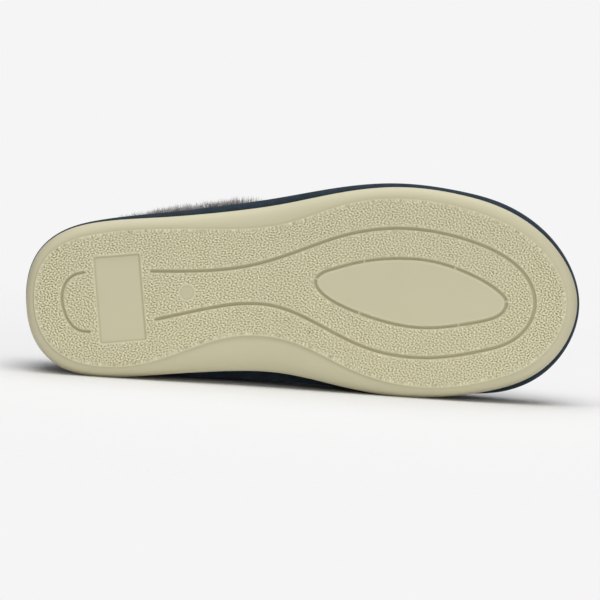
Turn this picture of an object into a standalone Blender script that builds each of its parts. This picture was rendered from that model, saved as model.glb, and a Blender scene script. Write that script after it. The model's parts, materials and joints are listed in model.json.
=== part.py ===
"""Closed-back slipper with a faux fur collar, for the right foot, lying on its medial side.

It is modelled upright in the shoe's own frame: x runs from the back of the heel to the toe, y to the
medial side and z up from the tread. An empty then lays the whole shoe on the points it rests on.
Tables and sizes are in millimetres and become metres through MM.
"""

import math
from typing import NamedTuple

import bmesh
import bpy
import numpy as np
from mathutils import Matrix, Vector, geometry

MM = 0.001
GAP = 0.3 * MM
WELD = 0.001 * MM


class SoleSection(NamedTuple):
    """Half widths of the sole at one station, the width of its rim and the upper's bulge past its edge."""

    station: float
    lateral: float
    medial: float
    lateral_rim: float
    medial_rim: float
    lateral_bulge: float
    medial_bulge: float


class SoleTip(NamedTuple):
    """End of the sole's outline on its long axis."""

    station: float
    side: float
    rim: float
    bulge: float


class SideRing(NamedTuple):
    """One ring of the sole's side: inset from the edge, and height over the tread or over the top edge."""

    rim_share: float
    inset: float
    over_edge: bool
    rise: float


class CollarSection(NamedTuple):
    """Half widths and height of the upper's top edge at one station."""

    station: float
    lateral: float
    medial: float
    height: float


class Finish(NamedTuple):
    """Name, sRGB colour and roughness of a material."""

    name: str
    colour: str
    roughness: float


# Outline of the sole
HEEL_TIP = SoleTip(station=-0.6, side=-0.5, rim=4.2, bulge=0.7)
TOE_TIP = SoleTip(station=285.4, side=1.0, rim=5.7, bulge=1.8)
SOLE_SECTIONS = (
    SoleSection(6.0, 24.9, 24.5, 4.8, 5.3, 0.7, -0.2),
    SoleSection(17.0, 34.4, 34.5, 5.5, 5.7, 0.9, -1.2),
    SoleSection(38.0, 40.5, 39.6, 5.8, 5.1, 1.4, -1.8),
    SoleSection(69.0, 42.8, 38.7, 5.9, 7.8, 2.7, 0.8),
    SoleSection(100.0, 45.4, 37.0, 8.6, 16.6, 3.6, 3.8),
    SoleSection(131.0, 49.5, 37.9, 10.2, 17.4, 3.9, 4.4),
    SoleSection(162.0, 55.6, 44.7, 6.6, 10.4, 3.1, 0.5),
    SoleSection(193.0, 58.5, 50.0, 5.9, 6.0, 2.3, -1.8),
    SoleSection(224.0, 54.7, 49.4, 6.3, 4.7, 2.2, -1.3),
    SoleSection(245.0, 48.3, 45.9, 6.5, 5.5, 2.7, 0.8),
    SoleSection(262.0, 38.6, 39.4, 6.2, 5.7, 2.7, 1.8),
    SoleSection(276.0, 24.4, 27.2, 5.9, 5.8, 2.3, 2.1),
)
HALF = 48
FINE = 24

# Heights of the sole
TOE_BREAK = 212.0 * MM
TOE_SPRING = 7.0 * MM
HEEL_BREAK = 16.0 * MM
HEEL_BEVEL = 1.2 * MM
ARCH_START = 72.0 * MM
ARCH_END = 160.0 * MM
ARCH_LIFT = 1.4 * MM
HEEL_THICKNESS = 20.5 * MM
FORE_THICKNESS = 15.5 * MM
SLOPE_START = 62.0 * MM
SLOPE_END = 172.0 * MM

# Side of the sole, from the tread's edge out to the top edge and down into the recess
RECESS_INSET = 6.4
RECESS_DEPTH = 5.5
SIDE_RINGS = (
    SideRing(1.00, 0.0, False, 0.0),
    SideRing(0.93, 0.0, False, 1.0),
    SideRing(0.60, 0.0, False, 1.5),
    SideRing(0.28, 0.0, False, 3.0),
    SideRing(0.08, 0.0, False, 5.6),
    SideRing(0.00, 0.0, False, 8.5),
    SideRing(0.00, 1.2, True, -2.0),
    SideRing(0.00, 2.2, True, 0.0),
    SideRing(0.00, 6.0, True, 0.0),
    SideRing(0.00, RECESS_INSET, True, -RECESS_DEPTH),
)
CAP_COLUMNS = 5

# Grooves and plain fields of the tread
GROOVE_WIDTH = 2.0 * MM
GROOVE_FOOT = 1.2 * MM
GROOVE_DEPTH = 1.1 * MM
CUT_CLEAR = 1.0 * MM
GROOVE_PITCH = 6.5 * MM
LENS_ROUTE = (
    ((149.4, -9.8), (152.7, -13.9), (158.2, -16.0), (168.0, -18.7), (191.0, -21.5), (210.8, -19.8))
    + ((230.6, -12.8), (244.5, -4.2), (248.2, 1.0), (246.6, 6.0), (241.0, 9.5), (230.6, 11.9))
    + ((205.9, 14.4), (186.0, 11.4), (171.1, 6.5), (155.0, -1.6), (151.0, -5.4))
)
LOOP_ROUTE = (
    ((63.6, -15.0), (89.6, -15.1), (115.0, -17.8), (141.4, -25.7), (161.3, -32.6))
    + ((191.0, -37.1), (230.6, -30.2), (248.4, -21.8), (259.4, -10.9), (263.1, 1.0))
    + ((260.3, 11.9), (251.4, 20.9), (235.5, 26.3), (210.8, 29.8), (176.1, 24.9))
    + ((155.0, 14.9), (126.0, 2.7), (113.6, 1.8), (89.6, 5.1), (66.0, 10.2))
)
HEEL_ROUTE = (
    ((29.5, -14.3), (24.0, -12.7), (20.3, -9.1), (18.4, -4.0), (18.3, 1.0))
    + ((19.6, 6.4), (22.5, 12.0), (26.9, 15.5), (32.4, 16.4))
)
PANEL_CENTRE = (48.1 * MM, -0.8 * MM)
PANEL_SIZE = (23.2 * MM, 44.4 * MM)
PANEL_TURN = math.radians(4.7)
DISC_CENTRE = (82.9 * MM, -3.9 * MM)
DISC_RADIUS = 4.2 * MM
DISC_SIDES = 20
PLAIN_DEPTH = 0.7 * MM

# Upper
WALL = 2.6 * MM
FEATHER_INSET = 2.6 * MM
BULGE_RISE = 11.0 * MM
FOOT_ANGLES = tuple(math.radians(degrees) for degrees in (40, 64, 90))
RIB_STEPS = 7
COLLAR_BACK = (13.0, -0.5, 62.0)
COLLAR_THROAT = (142.0, -5.0, 82.0)
COLLAR_SECTIONS = (
    CollarSection(20.0, 14.5, 11.5, 61.5),
    CollarSection(34.0, 23.5, 18.0, 59.5),
    CollarSection(55.0, 30.8, 22.6, 57.0),
    CollarSection(80.0, 35.4, 25.8, 57.0),
    CollarSection(105.0, 38.4, 28.9, 61.5),
    CollarSection(125.0, 35.6, 27.0, 72.0),
    CollarSection(137.0, 22.0, 13.5, 79.0),
)
COLLAR_HALF = 29
RIDGE_END = (247.0 * MM, 0.6 * MM, 51.0 * MM)
RIDGE_BOW = 0.25
SIDE_SHARE = 0.62
CROWN_SHARE = 0.58
COLLAR_SHARE = 0.40
COLLAR_LEAN = math.radians(72)
THROAT_BLEND = 11

# Fur band
FUR_COLUMNS = 76
FUR_SIDES = 12
FUR_HALF_HEIGHT = 11.0 * MM
FUR_HALF_THICKNESS = 7.4 * MM
FUR_SHIFT = 2.2 * MM
FUR_FLARE = 0.16
FUR_OVERLAP = 6.0 * MM
FUR_CLEAR = 0.4 * MM
COLLAR_TRIM = 0.7 * MM
LOCK_LENGTH = 3.2 * MM
LOCK_HOLLOW = 0.8 * MM
LOCK_SPREAD = 0.5
LOCK_SWAY = 1.6 * MM
LOCK_FALL = 0.3
LOCK_SEED = 7
SEAT_BELOW = -0.8
PRESSED_SIDE = 0.5
PRESSED_SHARE = 0.15

# Insole
INSOLE_EDGE = 1.2 * MM
INSOLE_PROUD = 1.2 * MM

# Lying pose
BALANCE_POINT = Vector((0.134, -0.003, 0.0145))
MEDIAL = Vector((0.0, 1.0, 0.0))
FORWARD = Vector((1.0, 0.0, 0.0))

# Finishes and shading
RUBBER = Finish("moulded_rubber", "C3BEA0", 0.62)
FELT = Finish("navy_felt", "2D3A4B", 0.9)
FUR = Finish("faux_fur", "5E5852", 0.95)
FLEECE = Finish("fleece_footbed", "4A4743", 0.95)
SHARP_ANGLE = math.radians(35)


def smooth_step(share):
    """Ease from 0 to 1 with level ends."""
    share = np.clip(share, 0.0, 1.0)
    return share * share * (3.0 - 2.0 * share)


def toe_lift(x):
    """Lift of the sole towards the toe, growing with the square of the way past the toe's break."""
    past_break = (x - TOE_BREAK) / (TOE_TIP.station * MM - TOE_BREAK)
    return TOE_SPRING * np.clip(past_break, 0.0, None) ** 2


def tread_height(x):
    """Height of the tread: level under heel and ball, lifted at the arch, the heel's back and the toe."""
    heel = HEEL_BEVEL * np.clip((HEEL_BREAK - x) / HEEL_BREAK, 0.0, None) ** 2
    arch_share = np.clip((x - ARCH_START) / (ARCH_END - ARCH_START), 0.0, 1.0)
    return toe_lift(x) + heel + ARCH_LIFT * np.sin(math.pi * arch_share) ** 2


def edge_height(x):
    """Height of the sole's top edge, falling from the heel to the forefoot."""
    fall = smooth_step((x - SLOPE_START) / (SLOPE_END - SLOPE_START))
    return HEEL_THICKNESS + (FORE_THICKNESS - HEEL_THICKNESS) * fall + toe_lift(x)


def spline(knots, closed):
    """Dense points on a cubic spline over chord length, FINE to a span; columns past x and y follow along."""
    if closed:
        knots = np.vstack([knots, knots[:1]])
    count = len(knots)
    steps = np.linalg.norm(np.diff(knots[:, :2], axis=0), axis=1)
    slopes = np.diff(knots, axis=0) / steps[:, None]
    system = np.zeros((count, count))
    right = np.zeros_like(knots)
    for i in range(1, count - 1):
        system[i, i - 1 : i + 2] = steps[i - 1], 2.0 * (steps[i - 1] + steps[i]), steps[i]
        right[i] = 6.0 * (slopes[i] - slopes[i - 1])
    system[0, 0] = 1.0
    if closed:
        system[0, -1] = -1.0
        system[-1, :2] = 2.0 * steps[0], steps[0]
        system[-1, -2:] = steps[-1], 2.0 * steps[-1]
        right[-1] = 6.0 * (slopes[0] - slopes[-1])
    else:
        system[-1, -1] = 1.0
    bends = np.linalg.solve(system, right)
    share = np.linspace(0.0, 1.0, FINE, endpoint=False)[:, None]
    rest = 1.0 - share
    spans = []
    for i in range(count - 1):
        chord = rest * knots[i] + share * knots[i + 1]
        bow = (rest**3 - rest) * bends[i] + (share**3 - share) * bends[i + 1]
        spans.append(chord + steps[i] ** 2 / 6.0 * bow)
    return np.vstack([*spans, knots[-1:]])


def even_points(points, count, keep_end=False):
    """Points at equal steps along a dense line, without its end unless asked."""
    travel = np.concatenate([[0.0], np.cumsum(np.linalg.norm(np.diff(points[:, :2], axis=0), axis=1))])
    wanted = np.linspace(0.0, travel[-1], count + 1)
    if not keep_end:
        wanted = wanted[:-1]
    return np.stack([np.interp(wanted, travel, column) for column in points.T], axis=1)


def loop_through(start, lateral, turn, medial, half):
    """Closed loop from start along the lateral rows to turn and back along the medial rows."""
    knots = np.array([start, *lateral, turn, *reversed(medial)]) * MM
    dense = spline(knots, closed=True)
    split = (len(lateral) + 1) * FINE
    return np.vstack([even_points(dense[: split + 1], half), even_points(dense[split:], half)])


def sole_loop():
    """Sole's edge from above: x, y, rim width and the upper's bulge at each point."""
    lateral = [(s.station, -s.lateral, s.lateral_rim, s.lateral_bulge) for s in SOLE_SECTIONS]
    medial = [(s.station, s.medial, s.medial_rim, s.medial_bulge) for s in SOLE_SECTIONS]
    return loop_through(HEEL_TIP, lateral, TOE_TIP, medial, HALF)


def collar_loop():
    """Upper's top edge, from the back along the lateral side to the throat and back."""
    lateral = [(c.station, -c.lateral, c.height) for c in COLLAR_SECTIONS]
    medial = [(c.station, c.medial, c.height) for c in COLLAR_SECTIONS]
    return loop_through(COLLAR_BACK, lateral, COLLAR_THROAT, medial, COLLAR_HALF)


def outward(loop):
    """Unit normals of a closed loop, pointing out, seen from above."""
    along = np.roll(loop[:, :2], -1, axis=0) - np.roll(loop[:, :2], 1, axis=0)
    normals = np.stack([along[:, 1], -along[:, 0]], axis=1)
    return normals / np.linalg.norm(normals, axis=1)[:, None]


def raised_ring(loop, inset, height):
    """Loop moved in by inset, at the height that the function gives for each x."""
    flat = loop[:, :2] - outward(loop) * np.reshape(inset, (-1, 1))
    return np.column_stack([flat, height(flat[:, 0])])


class Skin:
    """Vertices and faces of one loft, gathered row by row."""

    def __init__(self):
        self.rows = []
        self.faces = []
        self.size = 0

    def add_row(self, points):
        """Stores a row of points and returns their indices."""
        self.rows.append(np.asarray(points))
        indices = np.arange(self.size, self.size + len(points))
        self.size += len(points)
        return indices

    def add_band(self, low, high):
        """Closed band of quads between two rows of equal length."""
        quads = np.stack([low, np.roll(low, -1), np.roll(high, -1), high], axis=1)
        self.faces.extend(quads.tolist())

    def add_tufts(self, low, high, rank):
        """Closed band whose diagonals join the hollows, so that each lock stands as a pyramid."""
        count = len(low)
        for k in range(count):
            near_low, far_low = int(low[k]), int(low[(k + 1) % count])
            near_high, far_high = int(high[k]), int(high[(k + 1) % count])
            if (k + rank) % 2 == 0:
                self.faces += [[near_low, far_low, near_high], [far_low, far_high, near_high]]
            else:
                self.faces += [[near_low, far_low, far_high], [near_low, far_high, near_high]]

    def add_cap(self, ring, points, height):
        """Closes a ring with a ladder of quads between its two sides, at the given height."""
        half = len(ring) // 2
        rungs = []
        for k in range(1, half):
            share = np.linspace(0.0, 1.0, CAP_COLUMNS + 1)[1:-1, None]
            across = (1.0 - share) * points[k, :2] + share * points[-k, :2]
            inner = self.add_row(np.column_stack([across, height(across[:, 0])]))
            rungs.append(np.concatenate([[ring[k]], inner, [ring[-k]]]))
        for first, second in zip(rungs, rungs[1:]):
            quads = np.stack([first[:-1], first[1:], second[1:], second[:-1]], axis=1)
            self.faces.extend(quads.tolist())
        for tip, rung in ((ring[0], rungs[0]), (ring[half], rungs[-1])):
            self.faces.extend([int(tip), int(a), int(b)] for a, b in zip(rung, rung[1:]))

    def make_mesh(self, name, closed=True):
        """Mesh of the loft with its doubled points welded."""
        mesh = bpy.data.meshes.new(name)
        mesh.from_pydata(np.vstack(self.rows).tolist(), [], self.faces)
        work = bmesh.new()
        work.from_mesh(mesh)
        bmesh.ops.remove_doubles(work, verts=work.verts, dist=WELD)
        if closed:
            bmesh.ops.recalc_face_normals(work, faces=work.faces)
        bmesh.ops.triangulate(work, faces=work.faces, quad_method="FIXED")
        work.to_mesh(mesh)
        work.free()
        mesh.shade_smooth()
        mesh.set_sharp_from_angle(angle=SHARP_ANGLE)
        return mesh


def linear_colour(code):
    """Linear colour of an sRGB hex value."""
    shares = [int(code[i : i + 2], 16) / 255.0 for i in (0, 2, 4)]
    return [s / 12.92 if s <= 0.04045 else ((s + 0.055) / 1.055) ** 2.4 for s in shares] + [1.0]


def make_material(finish):
    """Plain material with the finish's colour and roughness."""
    material = bpy.data.materials.new(finish.name)
    material.use_nodes = True
    shader = material.node_tree.nodes["Principled BSDF"]
    shader.inputs["Base Color"].default_value = linear_colour(finish.colour)
    shader.inputs["Roughness"].default_value = finish.roughness
    shader.inputs["Metallic"].default_value = 0.0
    return material


def place(mesh, collection, material=None):
    """Object of the mesh's own name, in a collection."""
    obj = bpy.data.objects.new(mesh.name, mesh)
    if material:
        mesh.materials.append(material)
    collection.objects.link(obj)
    return obj


def outsole_mesh():
    """Unit sole without its grooves."""
    loop = sole_loop()
    skin = Skin()
    rings = []
    for step in SIDE_RINGS:
        base = edge_height if step.over_edge else tread_height
        inset = loop[:, 2] * step.rim_share + step.inset * MM
        points = raised_ring(loop, inset, lambda x: base(x) + step.rise * MM)
        rings.append((skin.add_row(points), points))
    for (low, _), (high, _) in zip(rings, rings[1:]):
        skin.add_band(low, high)
    skin.add_cap(*rings[0], tread_height)
    skin.add_cap(*rings[-1], lambda x: edge_height(x) - RECESS_DEPTH * MM)
    return skin.make_mesh("outsole")


def groove_mesh(name, route, closed):
    """Cutter of a groove: a flat-footed channel carried along a route on the tread."""
    dense = spline(np.asarray(route), closed)
    length = np.linalg.norm(np.diff(dense, axis=0), axis=1).sum()
    count = round(length / GROOVE_PITCH)
    path = even_points(dense, count, keep_end=not closed)
    if closed:
        along = np.roll(path, -1, axis=0) - np.roll(path, 1, axis=0)
    else:
        along = np.gradient(path, axis=0)
    sides = np.stack([along[:, 1], -along[:, 0]], axis=1)
    sides /= np.linalg.norm(sides, axis=1)[:, None]
    mouth = GROOVE_WIDTH / 2.0
    foot = GROOVE_FOOT / 2.0
    profile = (
        (-mouth, -CUT_CLEAR),
        (mouth, -CUT_CLEAR),
        (mouth, 0.0),
        (foot, GROOVE_DEPTH),
        (-foot, GROOVE_DEPTH),
        (-mouth, 0.0),
    )
    skin = Skin()
    heights = tread_height(path[:, 0])
    rows = [skin.add_row(np.column_stack([path + sides * side, heights + rise])) for side, rise in profile]
    columns = np.stack(rows, axis=1)
    for k in range(count):
        skin.add_band(columns[k], columns[(k + 1) % len(columns)])
    if not closed:
        skin.faces.append(columns[0].tolist())
        skin.faces.append(columns[-1].tolist())
    return skin.make_mesh(name)


def panel_mesh():
    """Cutter of the plain four-sided field on the heel."""
    mesh = bpy.data.meshes.new("panel_cutter")
    work = bmesh.new()
    size = (*PANEL_SIZE, CUT_CLEAR + PLAIN_DEPTH)
    middle = Matrix.Translation((*PANEL_CENTRE, (PLAIN_DEPTH - CUT_CLEAR) / 2.0))
    turned = middle @ Matrix.Rotation(-PANEL_TURN, 4, "Z") @ Matrix.Diagonal((*size, 1.0))
    bmesh.ops.create_cube(work, size=1.0, matrix=turned)
    work.to_mesh(mesh)
    work.free()
    return mesh


def disc_mesh():
    """Cutter of the plain round field in the waist."""
    mesh = bpy.data.meshes.new("disc_cutter")
    work = bmesh.new()
    level = float(tread_height(DISC_CENTRE[0])) + (PLAIN_DEPTH - CUT_CLEAR) / 2.0
    bmesh.ops.create_cone(
        work,
        cap_ends=True,
        segments=DISC_SIDES,
        radius1=DISC_RADIUS,
        radius2=DISC_RADIUS,
        depth=CUT_CLEAR + PLAIN_DEPTH,
        matrix=Matrix.Translation((*DISC_CENTRE, level)),
    )
    work.to_mesh(mesh)
    work.free()
    return mesh


def cut_tread(outsole, cutters):
    """Cuts grooves and plain fields into the tread."""
    meshes = (
        groove_mesh("lens_cutter", np.array(LENS_ROUTE) * MM, closed=True),
        groove_mesh("loop_cutter", np.array(LOOP_ROUTE) * MM, closed=False),
        groove_mesh("heel_cutter", np.array(HEEL_ROUTE) * MM, closed=False),
        panel_mesh(),
        disc_mesh(),
    )
    for mesh in meshes:
        add_cut(outsole, place(mesh, cutters))


def ridge_line():
    """Top of the vamp from the throat to the toe: points and slope along x."""
    throat = np.array(COLLAR_THROAT) * MM
    end = np.array(RIDGE_END)
    share = np.linspace(0.0, 1.0, HALF - COLLAR_HALF + 1)
    x = throat[0] + (end[0] - throat[0]) * share
    y = throat[1] + (end[1] - throat[1]) * share**2
    z = throat[2] + (end[2] - throat[2]) * ((1.0 + RIDGE_BOW) * share - RIDGE_BOW * share**2)
    return np.column_stack([x, y, z]), np.gradient(z, x)


def rib_ends():
    """End of each rib on the collar or the ridge, and the ridge's slope there."""
    collar = collar_loop()
    ridge, slope = ridge_line()
    lateral = np.vstack([collar[:COLLAR_HALF], ridge])
    medial = np.vstack([ridge[-2::-1], collar[COLLAR_HALF + 1 :]])
    slopes = np.concatenate([np.full(COLLAR_HALF, slope[0]), slope])
    return np.vstack([lateral, medial]), np.concatenate([slopes, slopes[-2:0:-1]])


def vamp_weight():
    """0 on ribs that end at the collar's sides and back, 1 on ribs that end on the ridge."""
    rank = np.arange(HALF + 1)
    side = smooth_step((rank - COLLAR_HALF + THROAT_BLEND) / THROAT_BLEND)
    return np.concatenate([side, side[-2:0:-1]])[:, None]


def from_opening(finish, slopes, weight):
    """Way back from the collar on each rib: down the wall at the sides, forward over the vamp at the throat."""
    normals = outward(collar_loop())
    back = np.zeros_like(finish)
    for rank in range(-COLLAR_HALF, COLLAR_HALF + 1):
        ahead = np.array([*normals[rank], normals[rank][0] * slopes[rank]])
        back[rank] = weight[rank] * ahead - (1.0 - weight[rank]) * finish[rank]
    return back


def upper_rows(trim):
    """Rows of points up the upper: out from the sole's edge to its bulge, then in to collar and ridge.

    Ribs that end at the collar stop short of it by trim, and the throat moves forward by as much.
    """
    loop = sole_loop()
    normals = outward(loop)
    foot = raised_ring(loop, FEATHER_INSET, lambda x: edge_height(x) + GAP)
    reach = (loop[:, 3] + FEATHER_INSET)[:, None] * normals
    start_angle = FOOT_ANGLES[0]
    rows = []
    for angle in FOOT_ANGLES:
        out = (math.sin(angle) - math.sin(start_angle)) / (1.0 - math.sin(start_angle))
        up = (math.cos(start_angle) - math.cos(angle)) / math.cos(start_angle)
        rise = np.full((len(loop), 1), BULGE_RISE * up)
        rows.append(foot + np.hstack([reach * out, rise]))
    bulge = rows[-1]
    ends, slopes = rib_ends()
    weight = vamp_weight()
    inward = ends[:, :2] - bulge[:, :2]
    span = np.linalg.norm(inward, axis=1)[:, None]
    inward = inward / span
    climb = (ends[:, 2] - bulge[:, 2])[:, None]
    over_vamp = np.column_stack([inward, inward[:, 0] * slopes])
    lean = np.full((len(loop), 1), math.sin(COLLAR_LEAN))
    to_collar = np.hstack([inward * math.cos(COLLAR_LEAN), lean])
    finish = (1.0 - weight) * to_collar + weight * over_vamp
    finish /= np.linalg.norm(finish, axis=1)[:, None]
    reach_back = (1.0 - weight) * COLLAR_SHARE * np.hypot(span, climb) + weight * CROWN_SHARE * span
    shoulder = bulge + np.hstack([np.zeros_like(inward), SIDE_SHARE * climb])
    crown = ends - finish * reach_back
    for share in np.linspace(0.0, 1.0, RIB_STEPS + 1)[1:]:
        rest = 1.0 - share
        rows.append(
            rest**3 * bulge
            + 3.0 * rest**2 * share * shoulder
            + 3.0 * rest * share**2 * crown
            + share**3 * ends
        )
    rows[-1] = ends + from_opening(finish, slopes, weight) * trim
    return rows


def upper_mesh(name, trim):
    """Outer face of the upper, open at the collar and underneath."""
    skin = Skin()
    rows = [skin.add_row(points) for points in upper_rows(trim)]
    for low, high in zip(rows, rows[1:]):
        skin.add_band(low, high)
    return skin.make_mesh(name, closed=False)


def add_wall(upper, clearance):
    """Gives the upper its wall, inwards from the outer face, with a clearance on both faces."""
    wall = upper.modifiers.new("wall", "SOLIDIFY")
    wall.thickness = WALL + 2.0 * clearance
    wall.offset = 2.0 * clearance / wall.thickness - 1.0
    wall.use_quality_normals = True
    wall.use_rim = True


def add_cut(obj, cutter):
    """Cuts a hidden tool out of an object."""
    cutter.hide_render = True
    cutter.display_type = "WIRE"
    cut = obj.modifiers.new(cutter.name, "BOOLEAN")
    cut.operation = "DIFFERENCE"
    cut.solver = "EXACT"
    cut.object = cutter


def fur_mesh():
    """Folded band of fur over the collar, with a lock pulled out of every second point."""
    collar = collar_loop()
    path = even_points(np.vstack([collar, collar[:1]]), FUR_COLUMNS)
    normals = outward(path)
    out = np.column_stack([normals, np.zeros(FUR_COLUMNS)])
    up = np.column_stack([normals * FUR_FLARE, np.ones(FUR_COLUMNS)])
    up /= np.linalg.norm(up, axis=1)[:, None]
    along = np.roll(path, -1, axis=0) - np.roll(path, 1, axis=0)
    along /= np.linalg.norm(along, axis=1)[:, None]
    centres = path + up * (FUR_HALF_HEIGHT - FUR_OVERLAP) + out * FUR_SHIFT
    draw = np.random.default_rng(LOCK_SEED)
    lengths = LOCK_LENGTH * draw.uniform(1.0 - LOCK_SPREAD, 1.0, (FUR_SIDES, FUR_COLUMNS))
    sways = LOCK_SWAY * draw.uniform(-1.0, 1.0, (FUR_SIDES, FUR_COLUMNS))
    pressed = np.where(normals[:, 1] > PRESSED_SIDE, PRESSED_SHARE, 1.0)
    skin = Skin()
    rows = []
    for side in range(FUR_SIDES):
        angle = 2.0 * math.pi * side / FUR_SIDES
        share = pressed if math.cos(angle) > 0.0 else np.ones(FUR_COLUMNS)
        if math.sin(angle) < SEAT_BELOW:
            share = np.zeros(FUR_COLUMNS)
        tips = (np.arange(FUR_COLUMNS) + side) % 2 == 0
        pull = np.where(tips, lengths[side], -LOCK_HOLLOW) * share
        fallen = angle - np.where(tips, LOCK_FALL * math.cos(angle), 0.0) * share
        across = out * (np.cos(fallen) * (FUR_HALF_THICKNESS + pull))[:, None]
        rise = up * (np.sin(fallen) * (FUR_HALF_HEIGHT + pull))[:, None]
        sway = along * (np.where(tips, sways[side], 0.0) * share)[:, None]
        rows.append(skin.add_row(centres + across + rise + sway))
    for side, (low, high) in enumerate(zip(rows, rows[1:] + rows[:1])):
        skin.add_tufts(low, high, side)
    return skin.make_mesh("collar_fur")


def insole_mesh():
    """Foam footbed in the recess of the sole, a little proud of its edge."""
    loop = sole_loop()[::2]
    foot_inset = RECESS_INSET * MM + 2.0 * GAP
    skin = Skin()
    rings = []
    for inset, rise in (
        (foot_inset, GAP - RECESS_DEPTH * MM),
        (foot_inset, INSOLE_PROUD - INSOLE_EDGE),
        (foot_inset + INSOLE_EDGE, INSOLE_PROUD),
    ):
        points = raised_ring(loop, inset, lambda x: edge_height(x) + rise)
        rings.append((skin.add_row(points), points))
    for (low, _), (high, _) in zip(rings, rings[1:]):
        skin.add_band(low, high)
    skin.add_cap(*rings[0], lambda x: edge_height(x) + GAP - RECESS_DEPTH * MM)
    skin.add_cap(*rings[-1], lambda x: edge_height(x) + INSOLE_PROUD)
    return skin.make_mesh("insole")


def evaluated_points(objects):
    """World points of the finished objects."""
    graph = bpy.context.evaluated_depsgraph_get()
    points = []
    for obj in objects:
        mesh = obj.evaluated_get(graph).to_mesh()
        points.extend(obj.matrix_world @ vertex.co for vertex in mesh.vertices)
    return points


def floor_normal(points):
    """Outward normal of the hull's face that lies under the balance point when the shoe is on its side."""
    work = bmesh.new()
    for point in points:
        work.verts.new(point)
    hull = bmesh.ops.convex_hull(work, input=work.verts)
    faces = [item for item in hull["geom"] if isinstance(item, bmesh.types.BMFace)]
    normal = MEDIAL.copy()
    for face in faces:
        corners = [loop.vert.co for loop in face.loops]
        if geometry.intersect_ray_tri(*corners, MEDIAL, BALANCE_POINT):
            normal = geometry.normal(corners)
            break
    work.free()
    return normal if normal.dot(MEDIAL) > 0.0 else -normal


def lying_matrix(points):
    """Turns the floor's side of the shoe down and centres the shoe over the origin."""
    up = -floor_normal(points)
    along = (FORWARD - up * FORWARD.dot(up)).normalized()
    turn = Matrix((along, up.cross(along), up))
    turned = np.array([turn @ point for point in points])
    low = turned.min(axis=0)
    high = turned.max(axis=0)
    centre = (low + high) / 2.0
    return Matrix.Translation((-centre[0], -centre[1], -low[2])) @ turn.to_4x4()


def main():
    """Builds the slipper upright and lays it on its side."""
    for obj in list(bpy.data.objects):
        bpy.data.objects.remove(obj, do_unlink=True)
    parts = bpy.data.collections.new("closed_back_slipper")
    cutters = bpy.data.collections.new("cutters")
    for collection in (parts, cutters):
        bpy.context.scene.collection.children.link(collection)

    outsole = place(outsole_mesh(), parts, make_material(RUBBER))
    cut_tread(outsole, cutters)
    upper = place(upper_mesh("upper", COLLAR_TRIM), parts, make_material(FELT))
    add_wall(upper, 0.0)
    fur = place(fur_mesh(), parts, make_material(FUR))
    fur_seat = place(upper_mesh("fur_seat_cutter", 0.0), cutters)
    add_wall(fur_seat, FUR_CLEAR)
    add_cut(fur, fur_seat)
    place(insole_mesh(), parts, make_material(FLEECE))

    bpy.context.view_layer.update()
    pose = bpy.data.objects.new("lying_pose", None)
    parts.objects.link(pose)
    pose.matrix_world = lying_matrix(evaluated_points(obj for obj in parts.objects if obj.type == "MESH"))
    for obj in [*parts.objects, *cutters.objects]:
        if obj.type == "MESH":
            obj.parent = pose


main()
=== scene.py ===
"""Looks of the closed-back slipper: its rubber sole, felt upper, fur collar, lining, footbed and studio.

Every shape is worked out in millimetres in the shoe's own frame, with x from heel to toe, y to the medial
side and z up from the tread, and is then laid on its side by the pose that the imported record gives.
"""

import json
import logging
import math
from dataclasses import dataclass
from enum import Enum
from typing import Callable, NamedTuple

import bmesh
import bpy
import numpy as np
from mathutils import Matrix, Vector


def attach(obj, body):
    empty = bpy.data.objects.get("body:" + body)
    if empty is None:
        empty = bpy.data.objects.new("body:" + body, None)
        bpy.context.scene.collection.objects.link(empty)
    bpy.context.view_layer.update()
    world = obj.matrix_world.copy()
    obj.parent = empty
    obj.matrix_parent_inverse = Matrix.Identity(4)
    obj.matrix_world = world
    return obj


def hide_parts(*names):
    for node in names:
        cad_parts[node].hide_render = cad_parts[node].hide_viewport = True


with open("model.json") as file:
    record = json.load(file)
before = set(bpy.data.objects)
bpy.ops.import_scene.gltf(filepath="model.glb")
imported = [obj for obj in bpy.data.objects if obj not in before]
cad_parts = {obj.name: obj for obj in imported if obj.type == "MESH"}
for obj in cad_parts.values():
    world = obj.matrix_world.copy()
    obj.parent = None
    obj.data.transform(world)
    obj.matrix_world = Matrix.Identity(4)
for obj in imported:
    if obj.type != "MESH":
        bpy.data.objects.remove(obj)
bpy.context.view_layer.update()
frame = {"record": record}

Array = np.ndarray
LOG = logging.getLogger("slipper")
MM = 0.001
ROOT = "root"
WELD = 1e-6
SPAN_STEPS = 24
SPOTS_AT_ONCE = 5000


class Level(Enum):
    """Line of the sole that a ring's height is counted from."""

    TREAD = "tread"
    TOP = "top edge"


class SoleSection(NamedTuple):
    """Half widths of the sole at one station, the width of its rim and the upper's bulge past its edge."""

    station: float
    lateral: float
    medial: float
    lateral_rim: float
    medial_rim: float
    lateral_bulge: float
    medial_bulge: float


class SoleTip(NamedTuple):
    """End of the sole's outline on its long axis."""

    station: float
    side: float
    rim: float
    bulge: float


class SideRing(NamedTuple):
    """One ring of the sole's side: its share of the rim, inset from the edge and rise over a level."""

    rim_share: float
    inset: float
    level: Level
    rise: float


class CollarSection(NamedTuple):
    """Half widths and height of the upper's top edge at one station."""

    station: float
    lateral: float
    medial: float
    height: float


class Crease(NamedTuple):
    """Soft trough across the vamp: its station at the middle, slant, half length, depth and half width."""

    station: float
    slant: float
    half_length: float
    depth: float
    half_width: float


class Nick(NamedTuple):
    """Small bridge across the leaf-shaped groove."""

    station: float
    side: float


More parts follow.
